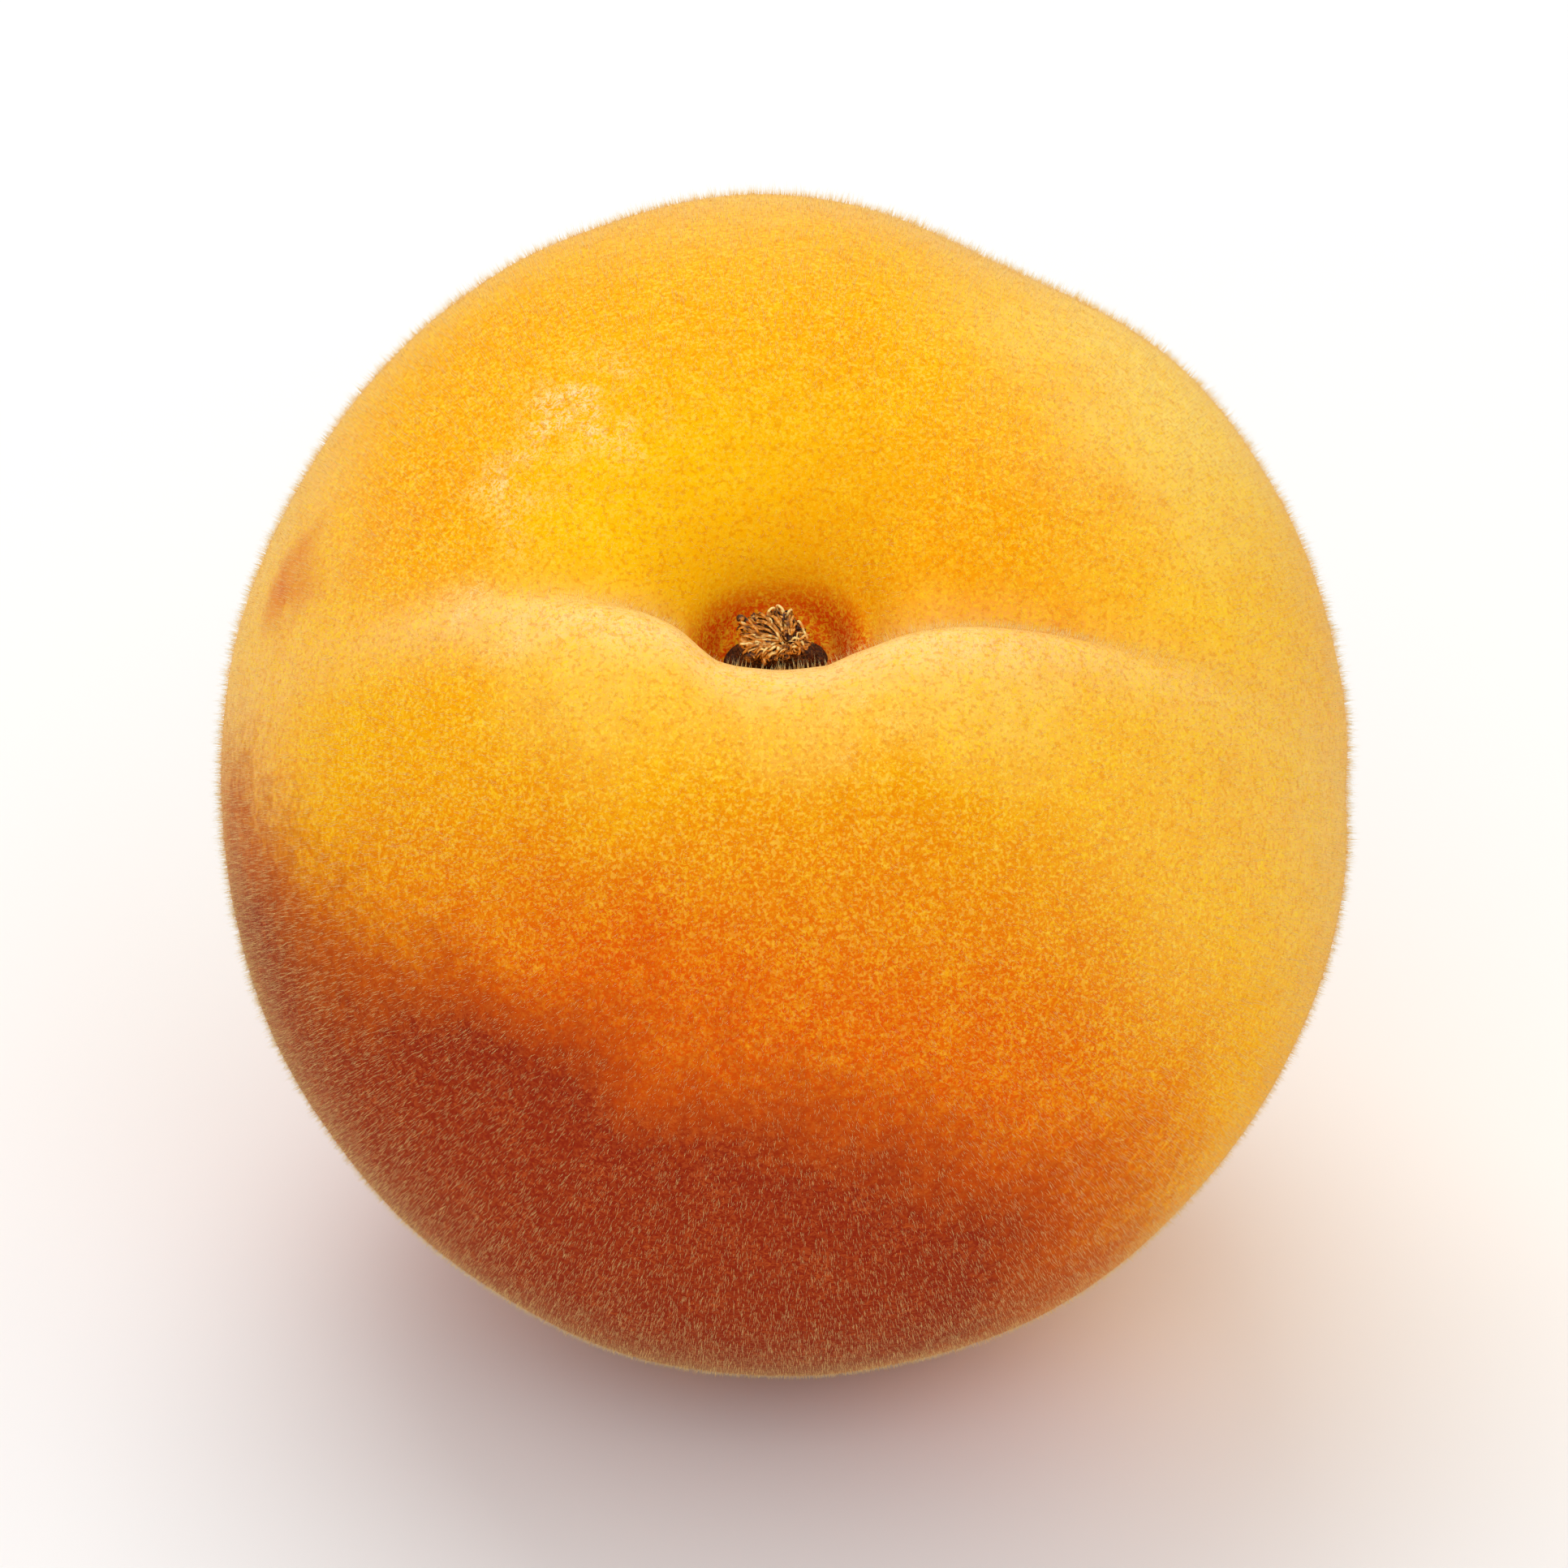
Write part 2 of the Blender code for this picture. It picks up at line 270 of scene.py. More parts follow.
def valley(x, polar):
    """Where the valley line runs, as a y for each x."""
    to_suture = SUTURE_SLANT * x - VALLEY_BOW * bell(x, BOW_REACH_SUTURE) * bow_share(polar)
    to_fold = FOLD_SLANT * x - VALLEY_BOW * np.exp(-((x / BOW_REACH_FOLD) ** 4)) * bow_share(polar)
    arch = VALLEY_ARCH * bell(np.abs(x) - ARCH_REACH, ARCH_WIDTH) * bow_share(polar)
    return np.where(x > 0.0, to_suture, to_fold) + arch


def bow_share(polar):
    """How much of its bow the valley line keeps, which is nothing on the blossom end's half."""
    return 1.0 - blend(polar, BOW_FADE_START, BOW_FADE_END)


def groove(across, near_wall, far_slope):
    """Section of a fold, 1 at its bottom. across is the distance past the valley line, towards +Y."""
    near_edge = NEAR_ROUNDED_SHARE * bell(across, NEAR_ROUNDING)
    near_side = near_edge + (1.0 - NEAR_ROUNDED_SHARE) * bell(across, near_wall)
    far_side = np.exp(-((np.maximum(across, 0.0) / far_slope) ** FAR_SLOPE_POWER))
    return np.where(across < 0.0, near_side, far_side)


def crease_depth(x, across, polar):
    """How far the skin lies inside the plain body at the suture and at the short fold."""
    at_cavity = bell(polar - SUTURE_DEEPEST, SUTURE_DEEP_REACH)
    at_tip = bell(polar - SUTURE_TIP_POLAR, SUTURE_TIP_REACH)
    suture = SUTURE_DEPTH_ON_SIDE + SUTURE_DEPTH_AT_CAVITY * at_cavity + SUTURE_DEPTH_AT_TIP * at_tip
    far_slope = SUTURE_FAR_SLOPE_ON_SIDE + (SUTURE_FAR_SLOPE - SUTURE_FAR_SLOPE_ON_SIDE) * at_cavity
    widened = blend(polar, NEAR_WALL_WIDENS, NEAR_WALL_WIDENED)
    near_wall = NEAR_WALL + (NEAR_WALL_ON_SIDE - NEAR_WALL) * widened
    suture = suture * groove(across, near_wall, far_slope)
    fold = FOLD_DEPTH * bell(polar - FOLD_DEEPEST, FOLD_REACH) * groove(across, NEAR_WALL, FOLD_FAR_SLOPE)
    return np.where(x > 0.0, suture, fold) * blend(np.abs(x), 0.0, FOLD_START)


def flat_depth(polar, around):
    """How far the slight flat lies inside the plain body."""
    off_flat = (around - FLAT_AZIMUTH + math.pi) % (2.0 * math.pi) - math.pi
    return FLAT_DEPTH * bell(off_flat, FLAT_HALF_WIDTH) * bell(polar - FLAT_POLAR, FLAT_HALF_LENGTH)


def cavity_drop(x, y, across):
    """How far the skin drops along the stem axis in the funnel, whose near wall follows the valley line."""
    edge_y = y - np.minimum(0.0, across)
    reach = np.hypot(x, edge_y)
    far_share = (np.maximum(0.0, edge_y) / np.maximum(reach, MM)) ** 2
    width = FUNNEL_SIDE + (FUNNEL_FAR - FUNNEL_SIDE) * far_share
    section = np.exp(-((np.maximum(0.0, reach - FLOOR_RADIUS) / width) ** FUNNEL_POWER))
    into_wall = np.maximum(0.0, -across)
    wall = np.exp(-((into_wall / FUNNEL_NEAR) ** FUNNEL_POWER_NEAR))
    rounded = FUNNEL_ROUNDED_SHARE * bell(into_wall, NEAR_ROUNDING)
    near_share = np.where(across < 0.0, rounded + (1.0 - FUNNEL_ROUNDED_SHARE) * wall, 1.0)
    return CAVITY_DEPTH * section * near_share


def skin_points(polar, around):
    """Points on the skin in the fruit's own frame, and how far each is in a hollow and by the edge."""
    points = body_points(polar, around)
    x, y = points[:, 0], points[:, 1]
    reach = np.hypot(x, y)
    across = y - valley(x, polar)
    crease = crease_depth(x, across, polar)
    upper = polar < math.pi / 2.0
    drop = np.where(upper, cavity_drop(x, y, across), 0.0)
    rise = NEAR_SHOULDER_RISE * bell(reach - NEAR_SHOULDER_REACH, NEAR_SHOULDER_WIDTH)
    rise = rise * blend(-across, 0.0, NEAR_SHOULDER_START)
    dimple = DIMPLE_DEPTH * bell(reach, DIMPLE_RADIUS) - TIP_HEIGHT * bell(reach, TIP_RADIUS)
    points[:, 2] += np.where(upper, rise, dimple)
    sunk = (crease + flat_depth(polar, around)) * blend(reach, FLOOR_RADIUS, 2.0 * FLOOR_RADIUS)
    points -= unit(points) * sunk[:, None]
    points[:, 2] -= drop
    hollow = drop / CAVITY_DEPTH + CREASE_SHARE * crease / SUTURE_DEPTH_AT_CAVITY
    # How near each point is to the near cheek's edge, which sets where the painted highlight lies
    edge = bell(across + EDGE_HIGHLIGHT_BAND, EDGE_HIGHLIGHT_BAND) * bell(polar, EDGE_HIGHLIGHT_REACH)
    return points, np.clip(hollow, 0.0, 1.0), edge


def crowded_polar(share):
    """Polar angle of a ring, with the rings closer together at the stem cavity and at the tip."""
    from_stem = share**CAVITY_CROWDING
    from_tip = 1.0 - (1.0 - share) ** TIP_CROWDING
    return math.pi * (from_stem * (1.0 - share) + from_tip * share)


def sphere_angles(settings):
    """Polar angle and azimuth of each vertex of a sphere: its two ends, then ring after ring."""
    rings = math.pi * np.arange(1, settings.rings) / settings.rings
    spokes = 2.0 * math.pi * np.arange(settings.segments) / settings.segments - math.pi
    polar = np.concatenate(((0.0, math.pi), np.repeat(rings, settings.segments)))
    around = np.concatenate(((0.0, 0.0), np.tile(spokes, settings.rings - 1)))
    return polar, around


def moulded(name, points, settings):
    """The smooth-shaded mesh of that sphere with its vertices at the given points, in a fixed order."""
    here = np.arange(settings.segments) + 2
    following = np.roll(here, -1)
    down = settings.segments * np.arange(settings.rings - 2)[:, None]
    below = down + settings.segments
    quads = np.stack((here + down, here + below, following + below, following + down), axis=-1)
    last = settings.segments * (settings.rings - 2)
    faces = [(0, a, b) for a, b in zip(here.tolist(), following.tolist())]
    faces += quads.reshape(-1, 4).tolist()
    faces += [(1, b + last, a + last) for a, b in zip(here.tolist(), following.tolist())]
    mesh = bpy.data.meshes.new(name)
    mesh.from_pydata(points.tolist(), [], faces)
    mesh.shade_smooth()
    return mesh


def to_world(points):
    """Turns rows of points from the fruit's own frame to the way the fruit lies, before it is set down."""
    return points @ np.array(FRUIT_TURN).T


def uneven(points, settings):
    """Slight unevenness of a grown surface, as a height for each point."""
    heights = np.empty(len(points))
    for index, point in enumerate(points):
        broad = noise.fractal(Vector(point / settings.swell_size), 1.0, 2.0, 2)
        fine = noise.noise(Vector(point / settings.pore_size))
        heights[index] = settings.swell * broad + settings.pore * fine
    return heights


def make_mesh(name, points, faces):
    """Smooth-shaded mesh from rows of points and triangles."""
    mesh = bpy.data.meshes.new(name)
    mesh.vertices.add(len(points))
    mesh.vertices.foreach_set("co", points.ravel().astype(np.float32))
    mesh.loops.add(faces.size)
    mesh.loops.foreach_set("vertex_index", faces.ravel().astype(np.int32))
    mesh.polygons.add(len(faces))
    mesh.polygons.foreach_set("loop_start", np.arange(0, faces.size, 3, dtype=np.int32))
    mesh.update(calc_edges=True)
    mesh.shade_smooth()
    return mesh


def add_piece(name, mesh, material, node=None):
    """Adds a mesh as a piece that rides on the fruit, and takes the place of a solid if one is named."""
    mesh.materials.append(material)
    piece = bpy.data.objects.new(name, mesh)
    bpy.context.scene.collection.objects.link(piece)
    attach(piece, "root")
    if node:
        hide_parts(node)
    return piece


def keep_values(mesh, name, values):
    """Keeps one number for each vertex, for the material to read."""
    kept = mesh.attributes.new(name, "FLOAT", "POINT")
    kept.data.foreach_set("value", values.astype(np.float32))


def make_skin(settings):
    """The skin's mesh, in place."""
    polar, around = sphere_angles(settings)
    polar = crowded_polar(polar / math.pi)
    around = around - SUTURE_CROWDING * np.sin(2.0 * around)
    own, hollow, edge = skin_points(polar, around)
    calm = 1.0 - blend(hollow, CALM_FROM, CALM_TO)
    own = own + unit(own) * (uneven(own, settings) * calm)[:, None]
    world = to_world(own)
    world += FRUIT_ORIGIN
    world[:, 2] = np.maximum(world[:, 2], 0.0)
    mesh = moulded("skin", world, settings)
    keep_values(mesh, "hollow", hollow)
    keep_values(mesh, "edge", edge)
    return mesh


def fruit_origin():
    """Where the fruit's own origin stands in the world, found from the solid's box."""
    polar, around = np.meshgrid(np.linspace(0.0, math.pi, 181), np.linspace(-math.pi, math.pi, 361))
    own, _, _ = skin_points(polar.ravel(), around.ravel())
    world = to_world(own)
    low, high = world.min(axis=0), world.max(axis=0)
    box_low, box_high = (np.array(corner) for corner in FRUIT_BOX)
    middle = (box_low + box_high - low - high) / 2.0
    return np.array((middle[0], middle[1], -low[2] - REST_SINK))


FRUIT_ORIGIN = fruit_origin()


# Fuzz


def hair_density(places, side, cheek):
    """How many hairs each place bears, from none to 1, in the quarter that side and cheek give."""
    own = (places - FRUIT_ORIGIN) @ np.array(FRUIT_TURN)
    in_quarter = (own[:, 0] * side > 0.0) & (own[:, 1] * cheek > 0.0)
    reach = np.hypot(own[:, 0], own[:, 1])
    above = own[:, 2] > 0.0
    bare = (reach < BARE_REACH) & above & (own[:, 1] > -0.5 * BARE_REACH)
    pressed = places[:, 2] < PRESSED_HEIGHT
    outward = np.clip((reach - BARE_REACH) / (FULL_REACH - BARE_REACH), 0.0, 1.0)
    density = np.where(above, CAVITY_SHARE + (1.0 - CAVITY_SHARE) * outward, 1.0)
    return (in_quarter & ~bare & ~pressed) * density


def rows_of(items, name, kind=float):
    """One value of each item in a mesh, as rows of three."""
    rows = np.empty(len(items) * 3, kind)
    items.foreach_get(name, rows)
    return rows.reshape(-1, 3)


def skin_samples(mesh, count, side, cheek, rng):
    """Random points in one quarter of the mesh, with their normals, crowded where hairs are denser."""
    mesh.calc_loop_triangles()
    corners = rows_of(mesh.loop_triangles, "vertices", np.int32)
    places = rows_of(mesh.vertices, "co")
    normals = rows_of(mesh.vertices, "normal")
    first, second, third = (places[corners[:, column]] for column in range(3))
    areas = np.linalg.norm(np.cross(second - first, third - first), axis=1) / 2.0
    areas *= hair_density((first + second + third) / 3.0, side, cheek)
    chosen = rng.choice(len(areas), size=count, p=areas / areas.sum())
    a, b = rng.random(count), rng.random(count)
    folded = a + b > 1.0
    a[folded], b[folded] = 1.0 - a[folded], 1.0 - b[folded]
    shares = np.stack((1.0 - a - b, a, b), axis=1)[:, :, None]
    point = (places[corners[chosen]] * shares).sum(axis=1)
    normal = (normals[corners[chosen]] * shares).sum(axis=1)
    return point, unit(normal)


def hair_arrays(roots, normals, settings, rng):
    """Hairs as slim three-sided spikes, each closed at its root, which is sunk in the skin."""
    count = len(roots)
    helper = np.where(np.abs(normals[:, 2:3]) < STEEP, (0.0, 0.0, 1.0), (1.0, 0.0, 0.0))
    side = unit(np.cross(normals, helper))
    other = np.cross(normals, side)
    turned = rng.uniform(0.0, 2.0 * math.pi, count)[:, None]
    lean = np.radians(rng.uniform(settings.lean_least, settings.lean_most, count))[:, None]
    flat = side * np.cos(turned) + other * np.sin(turned)
    along = normals * np.cos(lean) + flat * np.sin(lean)
    length = settings.length * rng.lognormal(0.0, settings.length_spread, count)[:, None]
    length = np.minimum(length, settings.longest)
    length *= SHORT_SHARE + (1.0 - SHORT_SHARE) * np.clip(roots[:, 2:3] / SHORT_HEIGHT, 0.0, 1.0)
    tips = roots + along * length
    tips[:, 2] = np.maximum(tips[:, 2], TIP_CLEARANCE)
    across = unit(np.cross(along, normals + flat * NUDGE))
    third_way = np.cross(along, across)
    width = settings.width / 2.0
    base = roots - normals * settings.root_sink
    corners = [tips]
    for step in range(3):
        angle = 2.0 * math.pi * step / 3.0
        corners.append(base + (across * math.cos(angle) + third_way * math.sin(angle)) * width)
    points = np.stack(corners, axis=1).reshape(-1, 3)
    spike = np.array(((0, 2, 1), (0, 3, 2), (0, 1, 3), (1, 2, 3)))
    faces = (spike[None] + 4 * np.arange(count)[:, None, None]).reshape(-1, 3)
    return points, faces


# Stub of the stalk


def stub_outline(share):
    """Radius and height of the stub's side: share 0 is the middle of its top, 1 the middle of its foot."""
    turned = np.clip(share / STUB_TOP_END, 0.0, 1.0) * math.pi / 2.0
    down = np.clip((share - STUB_TOP_END) / (STUB_SIDE_END - STUB_TOP_END), 0.0, 1.0)
    under = np.clip((share - STUB_SIDE_END) / (1.0 - STUB_SIDE_END), 0.0, 1.0) * math.pi / 2.0
    side = STUB_WAIST_RADIUS + (STUB_HEAD_RADIUS - STUB_WAIST_RADIUS) * bell(down, STUB_WAIST)
    side = side + (STUB_BASE_RADIUS - STUB_WAIST_RADIUS) * blend(down, STUB_WAIST, 1.0)
    on_top, on_foot = share < STUB_TOP_END, share >= STUB_SIDE_END
    radius = np.where(on_top, STUB_HEAD_RADIUS * np.sin(turned), side)
    radius = np.where(on_foot, STUB_BASE_RADIUS * np.cos(under), radius)
    top_level = STUB_HEIGHT - STUB_EDGE * (1.0 - np.cos(turned))
    side_level = (STUB_HEIGHT - STUB_EDGE) * (1.0 - down) + STUB_EDGE * down
    level = np.where(on_top, top_level, side_level)
    level = np.where(on_foot, STUB_EDGE * (1.0 - np.sin(under) ** 0.6), level)
    return radius, np.maximum(0.0, level)


def near_squeeze(share, around):
    """How much of its radius the stub keeps on the side that the near cheek presses."""
    near_share = STUB_NEAR_SHARE_AT_HEAD
    to_base = blend(share, STUB_WAIST, STUB_SIDE_END)
    near_share = near_share + (STUB_NEAR_SHARE_AT_BASE - near_share) * to_base
    return 1.0 - (1.0 - near_share) * blend(-np.sin(around), 0.0, 1.0)


def make_stub_wood(settings):
    """The stub's woody core, in place: a flared base and a waist with ribs and cracks."""
    polar, around = sphere_angles(settings)
    share = polar / math.pi
    radius, level = stub_outline(share)
    radius = radius * near_squeeze(share, around)
    radius = radius * (1.0 - settings.head_trim * (1.0 - blend(share, 0.3, 0.62)))
    radius = radius * (1.0 - settings.far_trim * blend(np.sin(around), -0.1, 0.8) * blend(share, 0.2, 0.6))
    on_side = blend(share, 0.1, STUB_TOP_END) * (1.0 - blend(share, 0.72, STUB_SIDE_END))
    ribs = 0.5 + 0.5 * np.sin(settings.ribs * around + 0.9 * np.sin(3.0 * around) + 2.0 * share)
    cracks = bell(np.sin(1.5 * settings.ribs * around + 5.0 * share), 0.25)
    radius = radius - on_side * (settings.rib_depth * ribs + settings.crack_depth * cracks)
    sunk = settings.head_sink * (1.0 - blend(share, 0.25, 0.5))
    own = np.stack((radius * np.cos(around), radius * np.sin(around), STUB_FLOOR + level - sunk), axis=-1)
    rough = np.array([noise.fractal(Vector(point / ROUGH_SIZE), 1.0, 2.0, 3) for point in own])
    own[:, 2] += settings.roughness * rough * (1.0 - blend(share, 0.7, 0.8))
    own[:, :2] *= (1.0 + ROUGH_SHARE * rough * on_side)[:, None]
    mesh = moulded("stub_wood", to_world(own) + FRUIT_ORIGIN, settings)
    keep_values(mesh, "up", np.clip(level / STUB_HEIGHT, 0.0, 1.0))
    return mesh


# Outline of the torn head: its radius in each direction, in degrees from the suture's side
HEAD_DIRECTIONS = (-148.0, -108.0, -60.0, -13.0, 30.0, 64.0, 110.0, 152.0, 185.0)
HEAD_RADII = (2.30, 1.80, 1.80, 2.45, 1.75, 2.10, 1.70, 2.65, 2.20)

# Lumps on the head: centre, radius and tone
HEAD_LUMPS = (
    ((-2.15, 1.20, 0.15), 0.30, 0.02),
    ((-1.55, -1.05, -0.55), 0.62, 0.30),
    ((-1.95, -0.35, -0.25), 0.42, 0.55),
)

# Small loops at the head's rim: centre, radius and tone
HEAD_LOOPS = (
    ((-0.75, -1.55, -0.25), 0.36, 0.75),
    ((-0.15, 1.60, 0.15), 0.30, 0.60),
    ((0.45, 1.75, 0.10), 0.32, 0.85),
    ((1.05, 1.50, 0.00), 0.26, 0.70),
    ((1.75, 0.55, 0.05), 0.34, 0.80),
    ((2.05, -0.15, 0.00), 0.30, 0.90),
)

# Fibres: where along its length each passes the rim, and from least to most how unlike they are
RIM_SHARE = 0.65
RIM_SPREAD = (0.84, 1.04)
LIFT_SPREAD = (0.1, 1.0)
WAVES_SPREAD = (1.2, 3.2)
DROP_SPREAD = (0.15, 1.0)
SWAY_SPREAD = (0.3, 1.0)
RADIUS_SPREAD = (0.5, 1.5)

# How much a fibre buckles a second time, in how many more waves, and how far it curls in past the rim
SECOND_LIFT = 0.35
SECOND_WAVES = 1.9
CURL_IN = 0.22

# The side of the head where fibres are palest, in degrees, and how far to either side
PALE_SIDE = 190.0
PALE_SIDE_REACH = 35.0

# Sides of a tube, how flat fibres and the rest are, and the radius of a loop's tube
TUBE_SIDES = 6
FIBRE_FLATNESS = 0.55
ROUND_FLATNESS = 0.8
LOOP_TUBE_RADIUS = 0.09 * MM


def tube(path, radii, sideways, flatness):
    """Points and triangles of a closed tube along a path, wider one way than the other."""
    sides, count = TUBE_SIDES, len(path)
    along = unit(np.gradient(path, axis=0))
    across = unit(sideways - along * (along @ sideways)[:, None])
    upward = np.cross(across, along)
    turn = (2.0 * math.pi / sides * np.arange(sides))[None, :, None]
    spread = across[:, None] * np.cos(turn) + flatness * upward[:, None] * np.sin(turn)
    rings = path[:, None] + radii[:, None, None] * spread
    points = np.concatenate((rings.reshape(-1, 3), path[:1], path[-1:]))
    faces = []
    for ring in range(count - 1):
        for side in range(sides):
            a, b = ring * sides + side, ring * sides + (side + 1) % sides
            faces += [(a, b, b + sides), (a, b + sides, a + sides)]
    last = (count - 1) * sides
    for side in range(sides):
        following = (side + 1) % sides
        faces += [(following, side, count * sides), (last + side, last + following, count * sides + 1)]
    return points, np.array(faces)


def fibre_path(around, start, settings, rng):
    """One fibre in the stub's own frame, from where they gather over the torn head to past its rim."""
    rim_reach = np.interp(math.degrees(around), HEAD_DIRECTIONS, HEAD_RADII, period=360.0) * MM
    outward = np.array((math.cos(around), math.sin(around), 0.0))
    rim = outward * rim_reach * rng.uniform(*RIM_SPREAD)
    gather = np.array((settings.gather_x, settings.gather_y, 0.0))
    sideways = np.cross(rim - gather, (0.0, 0.0, 1.0))
    sideways /= np.linalg.norm(sideways)
    along = np.linspace(start, 1.0, settings.fibre_points)[:, None]
    over = np.minimum(along / RIM_SHARE, 1.0)
    past = np.clip((along - RIM_SHARE) / (1.0 - RIM_SHARE), 0.0, 1.0)
    lift = rng.uniform(*LIFT_SPREAD) * settings.crumple
    waves, phase = rng.uniform(*WAVES_SPREAD), rng.uniform(0.0, 2.0 * math.pi)
    path = gather + (rim - gather) * over
    buckled = np.sin(2.0 * math.pi * SECOND_WAVES * waves * along + phase)
    path[:, 2:] += lift * np.sin(math.pi * over) + SECOND_LIFT * lift * buckled
    drop = rng.uniform(*DROP_SPREAD) * settings.fibre_drop
    path = path - outward * (CURL_IN * rim_reach * past**1.5)
    path[:, 2:] -= drop * past**1.3
    sway = rng.uniform(*SWAY_SPREAD) * settings.sway
    path += sideways * (sway * np.sin(2.0 * math.pi * waves * along + phase))
    slimmed = 0.4 + 0.6 * np.sin(math.pi * (0.1 + 0.8 * along[:, 0]))
    radii = settings.fibre_radius * rng.uniform(*RADIUS_SPREAD) * slimmed
    return path, radii, sideways


def loop_path(centre, radius, turned):
    """A small open loop that stands on the head's rim."""
    turns = np.linspace(-0.2, 1.25, 16) * math.pi * 1.5
    flat = np.array((math.cos(turned), math.sin(turned), 0.0))
    rise = np.array((0.0, 0.3, 1.0))
    path = centre + radius * (np.cos(turns)[:, None] * flat + np.sin(turns)[:, None] * rise)
    return path, np.cross(flat, rise)


def lump_path(centre, radius):
    """A rounded lump, as a short fat tube."""
    share = np.linspace(0.04, 0.96, 9)
    path = centre + np.stack((2.0 * radius * (share - 0.5), 0.0 * share, 0.0 * share), axis=1)
    return path, 2.0 * radius * np.sqrt(share * (1.0 - share))


def make_fibres(settings):
    """The torn fibres over the stub's head, in place, as one mesh of tubes that keeps how pale each is: its
    own tone, made paler where it rises and darker where it hangs down, as painted highlight and painted
    shade.
    """
    rng = np.random.default_rng(settings.seed)
    parts = []
    for index in range(settings.fibres):
        around = 2.0 * math.pi * (index + rng.uniform(-0.4, 0.4)) / settings.fibres
        start = rng.uniform(0.0, 0.3) if index % 3 else rng.uniform(0.3, 0.6)
        path, radii, sideways = fibre_path(around, start, settings, rng)
        off_side = (math.degrees(around) - PALE_SIDE) / PALE_SIDE_REACH
        tone = 0.85 * rng.beta(0.9, 1.5) + 0.25 * math.exp(-(off_side**2))
        parts.append((path, radii, sideways, FIBRE_FLATNESS, tone))
    for centre, radius, tone in HEAD_LOOPS:
        path, sideways = loop_path(np.array(centre) * MM, radius * MM, rng.uniform(0.0, math.pi))
        radii = np.full(len(path), LOOP_TUBE_RADIUS)
        parts.append((path, radii, sideways, ROUND_FLATNESS, tone))
    for centre, radius, tone in HEAD_LUMPS:
        path, radii = lump_path(np.array(centre) * MM, radius * MM)
        parts.append((path, radii, np.array((0.0, 1.0, 0.0)), ROUND_FLATNESS, tone))
    points, faces, tones = [], [], []
    total = 0
    for path, radii, sideways, flatness, tone in parts:
        path = path + np.array((0.0, 0.0, STUB_FLOOR + STUB_HEIGHT))
        some_points, some_faces = tube(path, radii, sideways, flatness)
        points.append(some_points)
        faces.append(some_faces + total)
        tones.append(np.full(len(some_points), tone))
        total += len(some_points)
    own = np.concatenate(points)
    # Raised fibres are made paler and low ones darker: painted highlight and painted shade on top of each
    # fibre's own tone
    tones = np.concatenate(tones) + 0.35 * (own[:, 2] - STUB_FLOOR - STUB_HEIGHT) / settings.crumple
    mesh = make_mesh("stub_fibres", to_world(own) + FRUIT_ORIGIN, np.concatenate(faces))
    keep_values(mesh, "tone", np.clip(tones, 0.0, 1.0))
    return mesh


# Materials


def fill(tree, node, inputs):
    """Fills a node's inputs, given by name or number, with values or with links from other nodes."""
    for name, value in inputs.items():
        if isinstance(value, bpy.types.NodeSocket):
            tree.links.new(value, node.inputs[name])
        else:
            node.inputs[name].default_value = value


def place(tree, kind, inputs=None, **options):
    """Adds a node, sets its options and fills its inputs."""
    node = tree.nodes.new(kind)
    for name, value in options.items():
        setattr(node, name, value)
    fill(tree, node, inputs or {})
    return node


def math_of(tree, operation, *values):
    """One Math node's result."""
    return place(tree, "ShaderNodeMath", dict(enumerate(values)), operation=operation).outputs[0]


def vector_of(tree, operation, *values):
    """One Vector Math node's result."""
    return place(tree, "ShaderNodeVectorMath", dict(enumerate(values)), operation=operation).outputs[0]


def times(tree, value, factor):
    """A value times another one."""
    return math_of(tree, "MULTIPLY", value, factor)


def ranged(tree, value, low, high, to_low=0.0, to_high=1.0):
    """A value that runs from to_low to to_high while the given one runs from low to high."""
    limits = {"Value": value, "From Min": low, "From Max": high, "To Min": to_low, "To Max": to_high}
    return place(tree, "ShaderNodeMapRange", limits).outputs["Result"]


def mixed(tree, share, first, second):
    """Two colours mixed by share."""
    inputs = {0: share, 6: first, 7: second}
    return place(tree, "ShaderNodeMix", inputs, data_type="RGBA", clamp_factor=True).outputs[2]


def layered(tree, base, layers):
    """A colour with others laid over it in turn, each given as its share and its colour."""
    for share, over in layers:
        base = mixed(tree, share, base, over)
    return base


def bumped(tree, height, strength, distance):
    """A Bump node's normal."""
    inputs = {"Height": height, "Strength": strength, "Distance": distance}
    return place(tree, "ShaderNodeBump", inputs).outputs["Normal"]


def kept_value(tree, name):
    """The number that the mesh keeps under a name."""
    return place(tree, "ShaderNodeAttribute", attribute_name=name).outputs["Fac"]


def mask_from(tree, name, build, inputs):
    """The mask of a node group that is placed in a material. Its tree is built when it is first needed."""
    group = bpy.data.node_groups.get(name)
    if group is None:
        group = bpy.data.node_groups.new(name, "ShaderNodeTree")
        for label in inputs:
            is_vector = label in ("Position", "Direction", "Centre")
            kind = "NodeSocketVector" if is_vector else "NodeSocketFloat"
            group.interface.new_socket(label, in_out="INPUT", socket_type=kind)
        group.interface.new_socket("Mask", in_out="OUTPUT", socket_type="NodeSocketFloat")
        given = group.nodes.new("NodeGroupInput").outputs
        result = group.nodes.new("NodeGroupOutput").inputs
        group.links.new(build(group, given), result["Mask"])
    return place(tree, "ShaderNodeGroup", inputs, node_tree=group).outputs["Mask"]


def smooth_cut(tree, value, low, high):
    """A value's smooth way from 0 at low to 1 at high."""
    limits = {"Value": value, "From Min": low, "From Max": high}
    return place(tree, "ShaderNodeMapRange", limits, interpolation_type="SMOOTHSTEP").outputs["Result"]


def noise_of(tree, position, scale, detail, **more):
    """A Noise Texture's grey value."""
    inputs = {"Vector": position, "Scale": scale, "Detail": detail, **more}
    return place(tree, "ShaderNodeTexNoise", inputs).outputs["Fac"]


